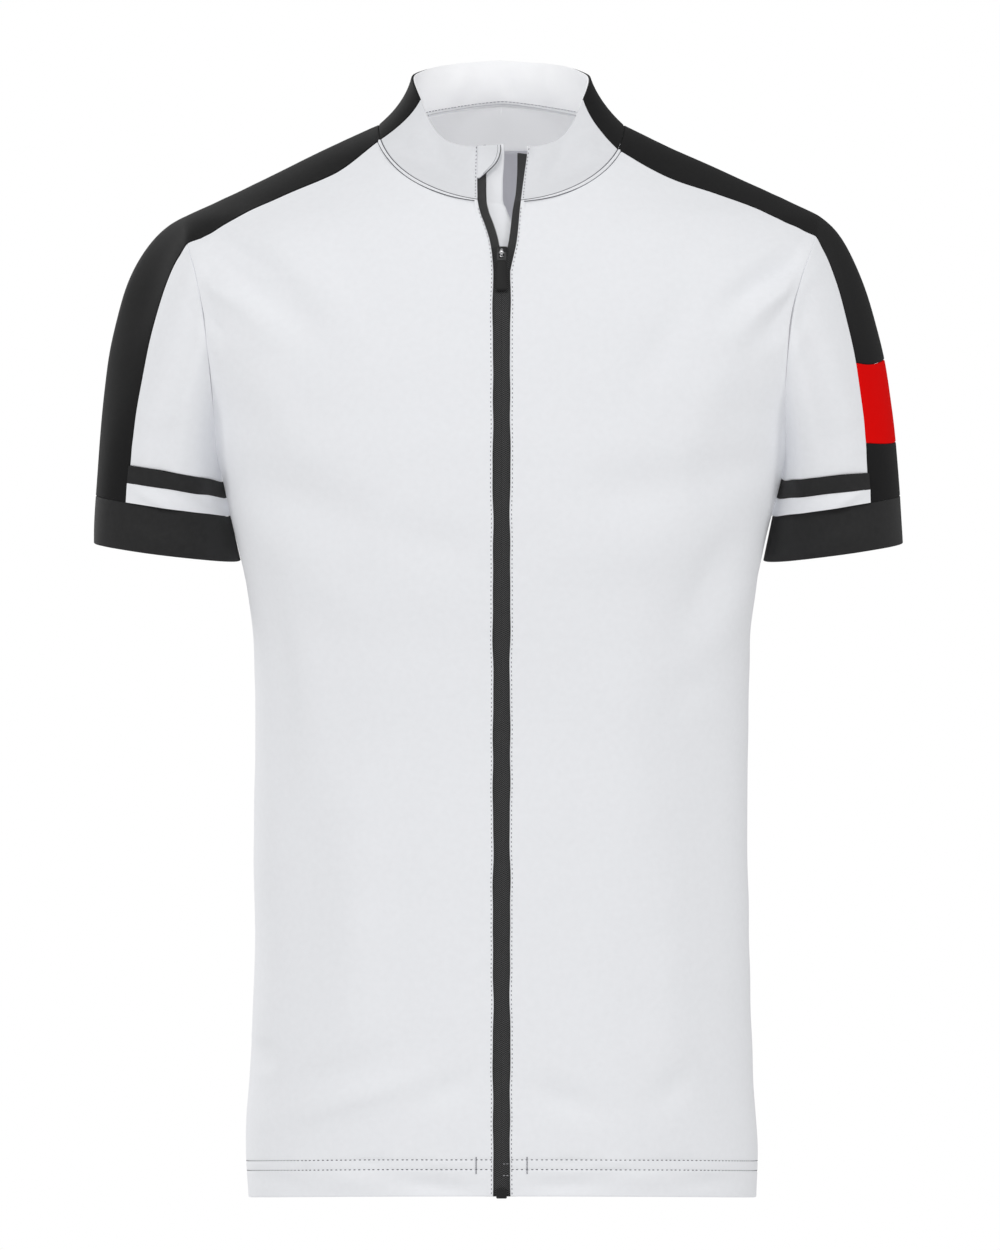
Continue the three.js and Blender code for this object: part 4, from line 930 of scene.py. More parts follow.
BACK_FOLDS = [
    # from the shoulders towards the armholes
    (-196, -74, -140, -128, 10, -1.6), (-190, -96, -138, -146, 9, 1.2), (-150, -56, -86, -96, 15, -0.9),
    (194, -70, 138, -120, 11, -1.5), (192, -92, 146, -140, 9, 1.1), (160, -58, 98, -90, 14, -0.8),
    # below the neck and between the shoulder blades
    (-58, -14, 4, -34, 12, -0.8), (62, -12, 16, -40, 12, -0.7), (-34, -60, -22, -190, 22, -0.7),
    (30, -74, 26, -210, 20, -0.6), (-84, -120, -60, -230, 20, 0.7), (88, -110, 70, -222, 22, 0.7),
    # the small of the back
    (-158, -262, -62, -308, 14, -1.6), (-150, -296, -70, -336, 12, 1.2), (-120, -340, -30, -364, 12, -1.1),
    (156, -250, 66, -300, 15, -1.5), (152, -290, 84, -326, 12, 1.1), (126, -344, 40, -356, 13, -1.0),
    (-46, -330, 38, -322, 13, -0.8),
    # long falls below it
    (-128, -400, -138, -566, 20, -1.1), (-74, -390, -84, -590, 23, -0.8), (-30, -410, -34, -560, 20, 0.6),
    (24, -400, 30, -600, 22, -0.8), (82, -384, 92, -560, 20, 0.8), (132, -390, 144, -580, 19, -1.0),
    (-104, -470, -110, -640, 15, 0.8), (58, -480, 60, -640, 15, 0.6),
    # above the hem
    (-146, -640, -60, -612, 9, 1.0), (-20, -634, 30, -618, 9, -0.8), (70, -640, 140, -616, 10, 0.9),
    (-120, -683, -80, -685, 5, -0.9), (-20, -684, 24, -685, 5, -0.9), (84, -684, 126, -685, 5, -0.9),
    # the sleeves and the back of the collar
    (-196, -116, -230, -200, 10, -1.0), (-210, -140, -238, -212, 8, 0.8),
    (194, -112, 228, -196, 10, -1.0), (206, -138, 234, -206, 8, 0.8),
    (-34, 24, -24, 46, 6, -0.6), (8, 26, 2, 48, 6, 0.5), (36, 22, 30, 46, 6, -0.6),
]

FOLD_DEPTH = 3  # the heights above are multiplied by this

# Lines on which the pieces are held together, so that folds flatten out towards them
held_lines = []
for side in SIDES.values():
    dense = np.linspace(0, 1, 60)
    round_arm = np.concatenate([
        armhole(side, -1, 1 - dense), armhole(side, 1, dense), arm_edge(side, 1 - dense),
    ])
    held_lines += [line * (side["sign"], 1, 1) for line in (round_arm, neck_seam(np.linspace(-0.9, 1, 90)))]


def folds_at(points):
    """How far the cloth stands out from the plain skin at each point."""
    front = np.clip(0.5 - points[:, 1] / 50, 0, 1)
    fold = front * soft_lines(points, FRONT_FOLDS) + (1 - front) * soft_lines(points, BACK_FOLDS)
    gap = np.full(len(points), 1e3)
    for line in held_lines:
        near = np.abs(points - line.mean(0)).max(1) < 160
        if near.any():
            gap[near] = np.minimum(gap[near], distance_to(points[near], line))
    held = np.clip(gap / 9, 0.25, 1)
    return FOLD_DEPTH * fold * held + waves(points)


def cloth_piece(name, cloth, material, relief=None, lining=None):
    """One cut piece: its edges rolled under at the seams, its relief and folds added, as a thin shell."""
    first, second = cloth.border()
    distance = nearest(cloth.points, cloth.points[first], cloth.points[second])
    drop = rolled(distance + 0.02, 0.7)
    if relief is not None:
        drop = np.minimum(drop - relief, CLOTH * 0.8)
    lift = folds_at(cloth.points)
    outer = cloth.points + cloth.normals * (lift - drop)[:, None]
    inner = cloth.points + cloth.normals * (lift - CLOTH)[:, None]
    cloth.outer, cloth.inner = outer, inner
    piece = shell(name, cloth, outer, inner, material, lining)


def bump_at(distance, place, width, height):
    return height * np.exp(-((distance - place) / width) ** 2)


def hem_relief(cloth):
    """The two stitched lines of the turned-up hem."""
    rise = cloth.flat[:, 1]
    return -sum(bump_at(rise, place, 0.8, depth) for place, depth in zip(HEM_STITCHES, (0.35, 0.3)))


def neck_relief(from_neck):
    """The piping below the neck seam, and the groove of its stitches."""
    return bump_at(from_neck, 1.3, 0.75, 0.9) - bump_at(from_neck, 2.5, 0.4, 0.6)


def zip_edge(points, side):
    """Points with the cloth's edge along the zip a little wavy."""
    z = points[..., 2]
    away = np.abs(points[..., 0]) - ZIP_HALF_WIDTH
    sway = sum(
        height * np.sin(z * 2 * math.pi / length + side["sign"] * length)
        for length, height in ((31, 0.12), (53, 0.16), (97, 0.2))
    )
    below = np.clip((SLIDER_Z - z) / 12, 0, 1)
    moved = points.copy()
    moved[..., 0] += side["sign"] * sway * np.exp(-np.clip(away, 0, None) / 8) * below
    return moved


def puckers(points, from_zip):
    """Small puckers that the zip's stitches draw in the cloth, most of them at the waist."""
    z = points[:, 2]
    drawn = 0.25 + 0.75 * np.exp(-((z + 292) / 34) ** 2)
    ripple = np.sin(z * 2 * math.pi / 8.5) * np.sin(z * 2 * math.pi / 37 + 1)
    ripple = ripple + 0.6 * np.sin(z * 2 * math.pi / 14.3)
    return 0.3 * drawn * ripple * bump_at(from_zip, 4.5, 4.5, 1)


trunk = {}
for side in SIDES.values():
    for face in (-1, 1):
        half = trunk_half(side, face)
        half["points"] = half["points"] * (side["sign"], 1, 1)
        trunk[side["name"], face] = half

for side in SIDES.values():
    name = side["name"]
    half = trunk[name, -1]
    grid = zip_edge(half["points"], side)
    cloth = net(grid)
    seam = neck_seam(np.linspace(opening_turn(side), neck_turn(side, -1), 80)) * (side["sign"], 1, 1)
    from_neck = distance_to(cloth.points, seam)
    from_zip = distance_to(cloth.points, grid[:half["neck_row"] + 1, 0])
    clear = from_neck > 3
    relief = hem_relief(cloth) + neck_relief(from_neck)
    relief += (puckers(cloth.points, from_zip) - bump_at(from_zip, STITCH_INSET, 0.4, 0.3)) * clear
    half["cloth"] = cloth
    cloth_piece(f"front_{name}", cloth, WHITE, relief, lining=INSIDE_WHITE_PAINTED_LIGHT)

back_halves = [trunk[name, 1] for name in ("right", "left")]
back = halves(back_halves[0]["points"], back_halves[1]["points"], back_halves[0]["neck_row"])
seam = np.concatenate([
    neck_seam(np.linspace(STRIPE_BACK["neck_turn"], 1, 60)) * (-1, 1, 1),
    neck_seam(np.linspace(1, STRIPE_BACK["neck_turn"], 60)),
])
from_neck = distance_to(back.points, seam)
relief = hem_relief(back) + neck_relief(from_neck)
cloth_piece("back", back, WHITE, relief, lining=INSIDE_WHITE_PAINTED_LIGHT)

kept = {}
for side in SIDES.values():
    name, turned = side["name"], (side["sign"], 1, 1)
    places = round_places(side, 0, 2)
    sleeve = net(sleeve_part(side, "armhole", "band", places) * turned)
    cloth_piece(f"sleeve_{name}", sleeve, WHITE)
    band = net(sleeve_part(side, "band", "inset", places, step=1.2) * turned)
    rows = band.flat[:, 1]
    relief = -bump_at(rows, 1.4, 0.4, 0.15) - bump_at(rows, BAND_DEPTH - 1.7, 0.4, 0.15)
    cloth_piece(f"band_{name}", band, CUFF_BLACK, relief)
    kept[f"band_{name}"] = band
    inset = net(sleeve_part(side, "inset", "cuff", places) * turned)
    cloth_piece(f"inset_{name}", inset, WHITE)
    all_round = round_places(side, 0, 3, closed=True)
    cuff = net(sleeve_part(side, "cuff", "edge", all_round) * turned, closed=True)
    cloth_piece(f"cuff_{name}", cuff, CUFF_BLACK)

    patch, across = shoulder(side)
    stripe_places = 3 - across
    if side["sign"] > 0:
        upper = sleeve_part(side, "armhole", "block", stripe_places, start=START)[1:]
        cloth_piece("stripe_left", net(np.concatenate([patch, upper]) * turned), BLACK)
        block = sleeve_part(side, "block", "block_end", stripe_places) * turned
        cloth_piece("accent_block", net(block), RED)
        lower = sleeve_part(side, "block_end", "cuff", stripe_places) * turned
        cloth_piece("stripe_left_lower", net(lower), BLACK)
    else:
        upper = sleeve_part(side, "armhole", "cuff", stripe_places, start=START)[1:]
        cloth_piece("stripe_right", net(np.concatenate([patch, upper]) * turned), BLACK)

    front_turn, back_turn = neck_turn(side, -1), neck_turn(side, 1)
    front = net(collar_part(side, opening_turn(side), front_turn, STITCH_MARKS, EDGE_MARKS) * turned)
    from_zip = distance_to(front.points, front.points.reshape(-1, front.columns, 3)[:, 0])
    relief = -bump_at(from_zip, STITCH_INSET, 0.4, 0.3)
    cloth_piece(f"collar_front_{name}", front, COLLAR_WHITE_PAINTED_SHADE, relief)
    kept[f"collar_front_{name}"] = front
    over = net(collar_part(side, front_turn, back_turn, EDGE_MARKS, EDGE_MARKS) * turned)
    cloth_piece(f"collar_side_{name}", over, BLACK)

collar_halves = []
for side in SIDES.values():
    half = collar_part(side, neck_turn(side, 1), 1, EDGE_MARKS, START)[:, ::-1]
    collar_halves.append(half * (side["sign"], 1, 1))
collar_back = halves(*collar_halves, len(collar_halves[0]) - 1)
cloth_piece("collar_back", collar_back, COLLAR_WHITE_PAINTED_SHADE, lining=INSIDE_WHITE_PAINTED_LIGHT)


# The facing, the label and the strips of the zip
def laid(name, grid, material, depth, thickness, normals=None, roll=0.35):
    """A layer of cloth at a depth under the skin's grid, folded as the cloth over it is."""
    cloth = net(grid)
    if normals is not None:
        cloth.normals = normals.reshape(-1, 3)
    away = cloth.normals * (folds_at(cloth.points) - depth)[:, None]
    normal = cloth.normals
    first, second = cloth.border()
    distance = nearest(cloth.points, cloth.points[first], cloth.points[second])
    drop = rolled(distance + 0.02, roll)
    cloth.outer = cloth.points + away - normal * drop[:, None]
    cloth.inner = cloth.points + away - normal * thickness
    shell(name, cloth, cloth.outer, cloth.inner, material)
    return cloth


def smoothed(vectors, reach):
    """Directions along a line, each averaged with its neighbours."""
    padded = np.pad(vectors, ((reach, reach), (0, 0)), mode="edge")
    total = sum(padded[k:k + len(vectors)] for k in range(2 * reach + 1))
    return unit(total)


def opening_frame(side):
    """The front opening's edge from the hem up: its points, the way across it and the normal."""
    first = opening_turn(side)
    seam_z = neck_seam(first)[0, 2]
    z = np.linspace(HEM_Z + HEM_LIFT, seam_z, int((seam_z - HEM_Z) / FRAME_STEP))
    edge = on_trunk(opening_at(side, z), z, -1)
    within = on_trunk(opening_at(side, z) + FRAME_REACH, z, -1)
    step = 0.02
    turns = np.array([first, first + step])
    reach = np.linalg.norm(np.diff(neck_seam(turns), axis=0))
    turns = np.array([first, first + step * FRAME_REACH / reach])
    shares = np.linspace(0, 1, int(COLLAR_HEIGHT / FRAME_STEP))[1:]
    collar = collar_surface(side, turns, shares)
    edge = np.concatenate([edge, collar[:, 0]]) * (side["sign"], 1, 1)
    within = np.concatenate([within, collar[:, 1]]) * (side["sign"], 1, 1)
    upward = unit(np.gradient(edge, axis=0))
    across = edge - within
    across = unit(across - (across * upward).sum(1, keepdims=True) * upward)
    normal = unit(np.cross(across, upward)) * -side["sign"]
    return edge, smoothed(across, 3), smoothed(normal, 3)


def strip(side, frame_of, reaches, column):
    """A grid of points that follows the opening, those past its edge turned in by a column of its table."""
    edge, across, normal = frame_of
    turn = np.radians(opening_at(side, edge[:, 2], column))[:, None]
    turned = across * np.cos(turn) - normal * np.sin(turn)
    return np.stack([edge + (turned if reach > 0 else across) * reach for reach in reaches], axis=1)


FRAME_STEP, FRAME_REACH = 1.6, 9
COIL_INSIDE, COIL_OPEN = 4.2, 0.3
GUARD_TRIM = 2.4
TAPE_TRIM = {"right": 0, "left": 3}
frames = {side["name"]: opening_frame(side) for side in SIDES.values()}
tapes = {}
tape_reaches = np.concatenate([np.linspace(-TAPE_UNDER, 0, 6), np.linspace(0.5, ZIP_HALF_WIDTH - 0.03, 9)])
for side in SIDES.values():
    frame_of = frames[side["name"]]
    last = len(frame_of[0]) - TAPE_TRIM[side["name"]]
    grid = strip(side, frame_of, tape_reaches, "turn")[:last]
    normals = np.repeat(frame_of[2][:last, None], len(tape_reaches), axis=1)
    tapes[side["name"]] = laid(
        f"zip_tape_{side['name']}", grid, TAPE, TAPE_DEPTH, TAPE_THICKNESS,
        normals=normals, roll=0.05,
    )
guard_reaches = np.linspace(-GUARD_UNDER, GUARD_REACH, 22)
guard = strip(SIDES["right"], frames["right"], guard_reaches, "guard")
upper_end = np.clip((guard[:, :1, 2] + 72) / 40, 0, 1)
guard[..., 0] -= GUARD_TRIM * upper_end * np.clip(guard_reaches / GUARD_REACH, 0, 1)
guard_normals = np.repeat(frames["right"][2][:, None], len(guard_reaches), axis=1)
laid("zip_guard", guard, WHITE, GUARD_DEPTH, GUARD_THICKNESS, normals=guard_normals)


def garage():
    """The flap on the right collar's end, cut in one arc from the collar's top to its edge."""
    edge, across, normal = frames["right"]
    drops = np.linspace(0, GARAGE["drop"][-1], 24)
    z = edge[-1, 2] - drops
    height = edge[:, 2]
    at = [between(z, height, v) for v in (edge, across, normal)]
    level = unit(at[1] * (1, 1, 0))
    reach = along(GARAGE, "drop", "reach", drops)[:, None]
    places = np.concatenate([[0.15, 1], np.linspace(2, 17, 11) / 17 * reach.max()]) / reach.max()
    shares = np.concatenate([places[:-1], [0.9, 0.94, 0.97, 0.985, 1]])
    shares = np.unique(np.clip(shares, 0, 1))
    grid = at[0][:, None] + level[:, None] * (reach * shares)[..., None]
    return grid, np.repeat(at[2][:, None], len(shares), axis=1)


flap, flap_normals = garage()
garage_piece = laid("zip_garage", flap, COLLAR_WHITE_PAINTED_SHADE, 0, CLOTH, normals=flap_normals, roll=0.5)

FACING_START = 0.1
facing_halves = []
for side in SIDES.values():
    dense = np.linspace(opening_turn(side), 1, 240)
    running = lengths(neck_seam(dense)[None], 1)[0]
    places = np.linspace(TAPE_UNDER + FACING_CLEAR_OF_TAPE, running[-1], 90)
    shares = lerp(FACING_START, 1, spread(COLLAR_HEIGHT, FINE_STEP, EDGE_MARKS, EDGE_MARKS)[0])
    turns = np.concatenate([[dense[0]], np.interp(places, running, dense)])
    grid = collar_surface(side, turns, shares)[:, 1:]
    facing_halves.append(grid[:, ::-1] * (side["sign"], 1, 1))
facing = np.concatenate([facing_halves[0][:, ::-1][:, :-1], facing_halves[1]], axis=1)
lining = laid("collar_facing", facing, INSIDE_WHITE_PAINTED_LIGHT, FACING_DEPTH, FACING_THICKNESS)

label_z, label_x = np.linspace(LABEL_BOTTOM, LABEL_TOP, 24), np.linspace(-LABEL_HALF, LABEL_HALF, 21)
across, height = np.meshgrid(label_x, label_z)
patch = on_trunk(np.abs(across), height, 1)
patch[..., 0] = across
laid("neck_label", patch, LABEL, CLOTH + LABEL_CLEARANCE, 1)


# Sewing: short raised stitches, seam lines and piping; the grey and dark threads and cords carry painted
# shade
STATIONS = np.array([-1, -0.8, 0, 0.8, 1])
FULLNESS = np.array([0.2, 0.85, 1, 0.85, 0.2])
SIDES_OF_THREAD = 5


def threads(name, rows, material, pitch, length, radius, lift=0.1):
    """Stitches along rows of points on the cloth, each row with its normals, as one object."""
    turns = np.linspace(0, 2 * math.pi, SIDES_OF_THREAD + 1)[:-1]
    points = []
    for line, normals in rows:
        running = lengths(line[None], 1)[0]
        places = np.arange(pitch / 2, running[-1], pitch)
        places = places + RNG.uniform(-0.06, 0.06, len(places)) * pitch
        at = between(places, running, line)
        out = unit(between(places, running, normals))
        way = unit(between(places + 0.5, running, line) - between(places - 0.5, running, line))
        level = unit(np.cross(way, out))
        centre = at[:, None] + way[:, None] * (STATIONS * length / 2)[None, :, None] + out[:, None] * lift
        ring = np.cos(turns)[:, None, None] * level[None] + np.sin(turns)[:, None, None] * out[None]
        full = (FULLNESS * radius)[None, :, None, None]
        points.append(centre[:, :, None] + ring.transpose(1, 0, 2)[:, None] * full)
    points = np.concatenate(points)
    count, stations, sides = points.shape[:3]
    ids = np.arange(stations * sides).reshape(stations, sides)
    after = np.roll(ids, -1, axis=1)
    one = np.stack([ids[:-1], after[:-1], after[1:], ids[1:]], axis=-1).reshape(-1, 4)
    faces = (one[None] + (np.arange(count) * stations * sides)[:, None, None]).reshape(-1, 4)
    made(name, points.reshape(-1, 3), faces, None, material, "garment")


def cord_along(name, lines, material, radius):
    """A round line laid along each of some rows of points, as one object."""
    solid(name, [tube(line, radius, sides=6, facing=facing) for line, facing in lines], material)


def column_of(cloth, place, rows=slice(None)):
    """One column of a cloth's grid as a row of points on its outer face, with the normals."""
    points = cloth.outer.reshape(-1, cloth.columns, 3)[rows, place]
    return points, cloth.normals.reshape(-1, cloth.columns, 3)[rows, place]


def row_of(cloth, rise):
    """The row of a cloth's grid at a height along it."""
    place = np.abs(cloth.flat[:, 1].reshape(-1, cloth.columns)[:, 0] - rise).argmin()
    points = cloth.outer.reshape(-1, cloth.columns, 3)[place]
    return points, cloth.normals.reshape(-1, cloth.columns, 3)[place]


def solid(name, parts, material, body="garment", nodes=()):
    """One object from several sets of points and faces."""
    points, faces, count = [], [], 0
    for some, sides in parts:
        points.append(some)
        faces += [[k + count for k in face] for face in sides]
        count += len(some)
    mesh = bpy.data.meshes.new(name)
    mesh.from_pydata((np.concatenate(points) * MM).tolist(), [], faces)
    mesh.polygons.foreach_set("use_smooth", np.ones(len(faces), bool))
    mesh.update()
    piece = added(name, mesh, material, body)
    if nodes:
        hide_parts(*nodes)


def rings_of(rings, sides):
    """Faces between rings of points, with a flat end at either side."""
    ids = np.arange(rings * sides).reshape(rings, sides)
    faces = [
        [int(a[k]), int(a[(k + 1) % sides]), int(b[(k + 1) % sides]), int(b[k])]
        for a, b in zip(ids[:-1], ids[1:]) for k in range(sides)
    ]
    return faces + [ids[0, ::-1].tolist(), ids[-1].tolist()]


def tube(path, radius, sides=8, facing=(0, -1, 0)):
    """Points and faces of a round bar along a path, narrower where a list of radii says so."""
    path = np.asarray(path, float)
    radii = np.broadcast_to(radius, len(path))
    forward = unit(np.gradient(path, axis=0))
    level = unit(np.cross(forward, np.broadcast_to(facing, path.shape)))
    rise = np.cross(level, forward)
    turns = np.linspace(0, 2 * math.pi, sides + 1)[:-1]
    circle = np.cos(turns)[None, :, None] * level[:, None] + np.sin(turns)[None, :, None] * rise[:, None]
    points = path[:, None] + circle * radii[:, None, None]
    return points.reshape(-1, 3), rings_of(len(path), sides)


def bartack(side):
    """A short upright row of close stitches on the hem, beside the zip."""
    z = np.linspace(*BARTACK_Z, 12)
    points = on_trunk(np.full_like(z, BARTACK_X), z, -1) * (side["sign"], 1, 1)
    out = np.zeros_like(points) + (0, -1, 0)
    return points + out * (folds_at(points)[:, None] + 0.05), out


def on_tapes(z):
    """The place on the tapes' outer face at a height, and the turn of a plate that lies on it."""
    at = on_trunk(np.full(3, ZIP_HALF_WIDTH), z + np.array([0, -4, 4.4]), -1)
    upward = at[2] - at[1]
    turn = math.pi / 2 - math.atan2(upward[1], upward[2])
    return np.array([0, at[0, 1] + TAPE_DEPTH, z]), turn


BARTACK_X, BARTACK_Z = 16.4, (-678, -667)
TAPE_TACKS = (-671.5, -679)
GROOVE_COLUMN = 6
zip_rows, hem_rows, neck_shade_lines = [], [], []
for side in SIDES.values():
    half = trunk[side["name"], -1]
    cloth = half["cloth"]
    collar = kept[f"collar_front_{side['name']}"]
    for piece, rows in ((cloth, slice(2, half["neck_row"])), (collar, slice(2, -2))):
        from_edge = np.abs(piece.flat[:piece.columns, 0] - piece.flat[0, 0])
        zip_rows.append(column_of(piece, np.abs(from_edge - STITCH_INSET).argmin(), rows))
    hem_rows += [row_of(cloth, rise) for rise in HEM_STITCHES]
    # painted shade: dark cords sunk along the neck seam and along the groove of its stitches
    for place, sink in ((0, 0.25), (GROOVE_COLUMN, 0.05)):
        line, normals = column_of(cloth, place, slice(half["neck_row"], None))
        neck_shade_lines.append((line + normals * sink, normals))
threads("zip_stitches", zip_rows, GREY_THREAD_PAINTED_SHADE, 2.9, 1.3, 0.28, lift=0.02)
rises = back.flat[:, 1].reshape(2, -1, trunk["left", 1]["points"].shape[1])[0, :, 0]
for rise in HEM_STITCHES:
    row = np.abs(rises - rise).argmin()
    rows = [v.reshape(2, len(rises), -1, 3)[:, row] for v in (back.outer, back.normals)]
    hem_rows.append(tuple(np.concatenate([right[::-1], left[1:]]) for right, left in rows))
threads("hem_stitches", hem_rows, DARK_THREAD_PAINTED_SHADE, 3.2, 1.5, 0.3, lift=0.02)
tape_tacks = []
for z in TAPE_TACKS:
    tack = on_tapes(z)[0] + np.linspace(0.8, 4.6, 6)[:, None] * (1, 0, 0)
    tape_tacks.append((tack + (0, folds_at(tack)[0] * -1 - 0.1, 0), np.zeros_like(tack) + (0, -1, 0)))
threads("tape_tacks", tape_tacks, LIGHT_THREAD, 1.9, 1.5, 0.25, lift=0.05)
threads("bartacks", [bartack(side) for side in SIDES.values()], GREY_THREAD_PAINTED_SHADE, 0.8, 0.7, 0.4, lift=0.02)
# painted shade along the neck seam
cord_along("neck_seam_painted_shade", neck_shade_lines, DARK_THREAD_PAINTED_SHADE, 0.3)
flap_edge, flap_out = column_of(garage_piece, -1)
flap_fold, fold_out = column_of(garage_piece, -5)
# painted shadow: a dark cord under the flap's edge, and a grey cord for the shade of the fold inside it
cord_along("garage_edge_painted_shadow", [(flap_edge - flap_out * 0.8, flap_out)], DARK_THREAD_PAINTED_SHADE, 0.42)
cord_along("garage_fold_painted_shade", [(flap_fold[:-3] - fold_out[:-3] * 0.12, fold_out[:-3])], GREY_THREAD_PAINTED_SHADE, 0.2)
for side in SIDES.values():
    band = kept[f"band_{side['name']}"]
    rows = [row_of(band, rise) for rise in (1.4, BAND_DEPTH - 1.7)]
    threads(f"band_stitches_{side['name']}", rows, PALE_THREAD, 2.6, 1.2, 0.22)

# One turn of the coil: how far across the zip and how far behind it
COIL_LOOP = ((-1.3, 0.5), (-0.5, 0), (0.6, 0), (1.1, 0.45), (1.1, 1))
coil_rows = []
for side in SIDES.values():
    edge, across, normal = frames[side["name"]]
    turn = np.radians(opening_at(side, edge[:, 2], "turn"))[:, None]
    turned = across * np.cos(turn) - normal * np.sin(turn)
    under = np.cross(turned, unit(np.gradient(edge, axis=0)))
    under = under * np.sign((under * -normal).sum(1, keepdims=True))
    apart = COIL_INSIDE + np.clip((edge[:, 2:] - SLIDER_Z - 6) / 10, 0, 1) * COIL_OPEN
    middle = edge + folds_at(edge)[:, None] * normal - normal * TAPE_DEPTH + turned * apart + under * 0.9
    running = lengths(middle[None], 1)[0]
    top = running[-1 - TAPE_TRIM[side["name"]]]
    for place in np.arange(2 + side["sign"] * 0.35, top - 2, 1.4):
        at = [between(place, running, v) for v in (middle, turned, under)]
        loop = [at[0] + at[1] * a + at[2] * b for a, b in COIL_LOOP]
        coil_rows.append(tube(loop, 0.36, sides=5, facing=normal[0]))
solid("zip_coils", coil_rows, COIL)

back_turns = np.linspace(1, neck_turn(SIDES["left"], 1) * 0.9, 60)
inside_seam = neck_seam(back_turns)
inside_seam = np.concatenate([inside_seam[::-1] * (-1, 1, 1), inside_seam[1:]])
towards = unit(inside_seam * (-1, -1, 0))
binding = inside_seam + towards * 2.9 + (0, 0, 1.2)
cord_along("neck_binding", [(binding, towards)], WHITE_THREAD, 1.15)
lining_rows = lining.inner.reshape(-1, lining.columns, 3)
lining_out = -lining.normals.reshape(-1, lining.columns, 3)
threads("collar_stitches", [(lining_rows[2], lining_out[2])], GREY_THREAD_PAINTED_SHADE, 2.6, 1.7, 0.28, lift=0.05)


# The hard parts of the zip
def placed(points, origin, turn):
    """Points drawn on a plate, with z as the height over it, in the garment's own frame."""
    x, y, z = np.asarray(points, float).T
    c, s = math.cos(turn), math.sin(turn)
    return np.stack([x, y * c - z * s, y * s + z * c], axis=1) + origin


def rounded_plate(outline, low, high, edge):
    """Points and faces of a plate with its edges rounded off, as rings of its outline."""
    outline = np.array(outline, float)
    middle = outline.mean(0)
    half = (np.ptp(outline, axis=0) / 2).min()
    rings = []
    for quarter in np.linspace(0, 1, 5):
        inset = edge * (1 - math.sin(quarter * math.pi / 2))
        z = low + edge * (1 - math.cos(quarter * math.pi / 2))
        rings.append((inset, z))
    rings += [(inset, high + low - z) for inset, z in rings[::-1]]
    points = [
        np.column_stack([middle + (outline - middle) * (1 - inset / half), np.full(len(outline), z)])
        for inset, z in rings
    ]
    return np.concatenate(points), rings_of(len(rings), len(outline))


def rounded(corners, radius, steps=5):
    """An outline with its corners rounded off."""
    corners = np.array(corners, float)
    points = []
    for k, corner in enumerate(corners):
        before, after = unit(corners[k - 1] - corner), unit(corners[(k + 1) % len(corners)] - corner)
        start, end = corner + before * radius, corner + after * radius
        for t in np.linspace(0, 1, steps):
            points.append(lerp(lerp(start, corner, t), lerp(corner, end, t), t))
    return points


# Sizes of the slider, its bail, the pull and the box end, in millimetres
SLIDER = dict(top=4.4, bottom=-4, top_half=3.8, bottom_half=3.2, low=0.3, high=2.1)
BAIL = dict(half=1.1, length=5.2, bar=0.9, room=1.9)
PULL = dict(pivot=-0.6, bar=0.55, eye_half=1.55, eye_length=4.1, arm=1.2, half=3.15, end_half=3.8,
            length=25.5, thickness=1.8, lean=4)
BOX = dict(half=3.4, below=1.2, above=4.8, low=0.3, high=2)

origin, turn = on_tapes(SLIDER_Z)
body_outline = rounded([
    (-SLIDER["bottom_half"], SLIDER["bottom"]), (SLIDER["bottom_half"], SLIDER["bottom"]),
    (SLIDER["top_half"], SLIDER["top"]), (-SLIDER["top_half"], SLIDER["top"]),
], 1.2)
points, faces = rounded_plate(body_outline, SLIDER["low"], SLIDER["high"], 0.5)
slider_parts = [(placed(points, origin, turn), faces)]
end, rise = BAIL["length"] / 2 - BAIL["bar"] / 2, SLIDER["high"] + BAIL["room"] + BAIL["bar"] / 2
arch = [(0, end * math.cos(t), SLIDER["high"] - 0.4 + (rise - SLIDER["high"] + 0.4) * math.sin(t) ** 0.7)
        for t in np.linspace(0, math.pi, 17)]
points, faces = tube(arch, BAIL["bar"] / 2, facing=(1, 0, 0))
points[:, 0] *= BAIL["half"] / (BAIL["bar"] / 2)
solid("slider_body", slider_parts, PAINTED, nodes=["zip_slider"])
solid("slider_bail", [(placed(points, origin, turn), faces)], METAL)
turns = np.linspace(0, math.pi, 13)
bright_end = np.stack([
    1.1 * np.cos(turns), -1.9 - 1.1 * np.sin(turns), np.full(13, SLIDER["high"] + 0.1),
], axis=1)
points, faces = tube(bright_end, 0.38, facing=(0, 0, 1))
solid("bail_end", [(placed(points, origin, turn), faces)], METAL)

pivot = placed([(0, PULL["pivot"], SLIDER["high"] + BAIL["room"] / 2)], origin, turn)[0]
turn += math.radians(PULL["lean"])
head_parts = []
bar_line = [(x, 0, 0) for x in (-2.9, -2.6, 0, 2.6, 2.9)]
points, faces = tube(bar_line, [0.3] + [PULL["bar"]] * 3 + [0.3], facing=(0, 0, 1))
solid("pull_bar", [(placed(points, pivot, turn), faces)], METAL, body="pull_tab")
for sign in (-1, 1):
    low, high = sorted([sign * PULL["eye_half"], sign * PULL["half"]])
    arm_outline = rounded([
        (low, -PULL["eye_length"] - 1.5), (high, -PULL["eye_length"] - 1.5), (high, 0.55), (low, 0.55),
    ], 0.5)
    points, faces = rounded_plate(arm_outline, -PULL["arm"] / 2, PULL["arm"] / 2, 0.3)
    head_parts.append((placed(points, pivot, turn), faces))
cross = rounded([(-2.6, -6.4), (2.6, -6.4), (2.6, -3.6), (-2.6, -3.6)], 0.5)
points, faces = rounded_plate(cross, -0.5, 0.5, 0.3)
head_parts.append((placed(points, pivot, turn), faces))
solid("pull_head", head_parts, PLATE, body="pull_tab")
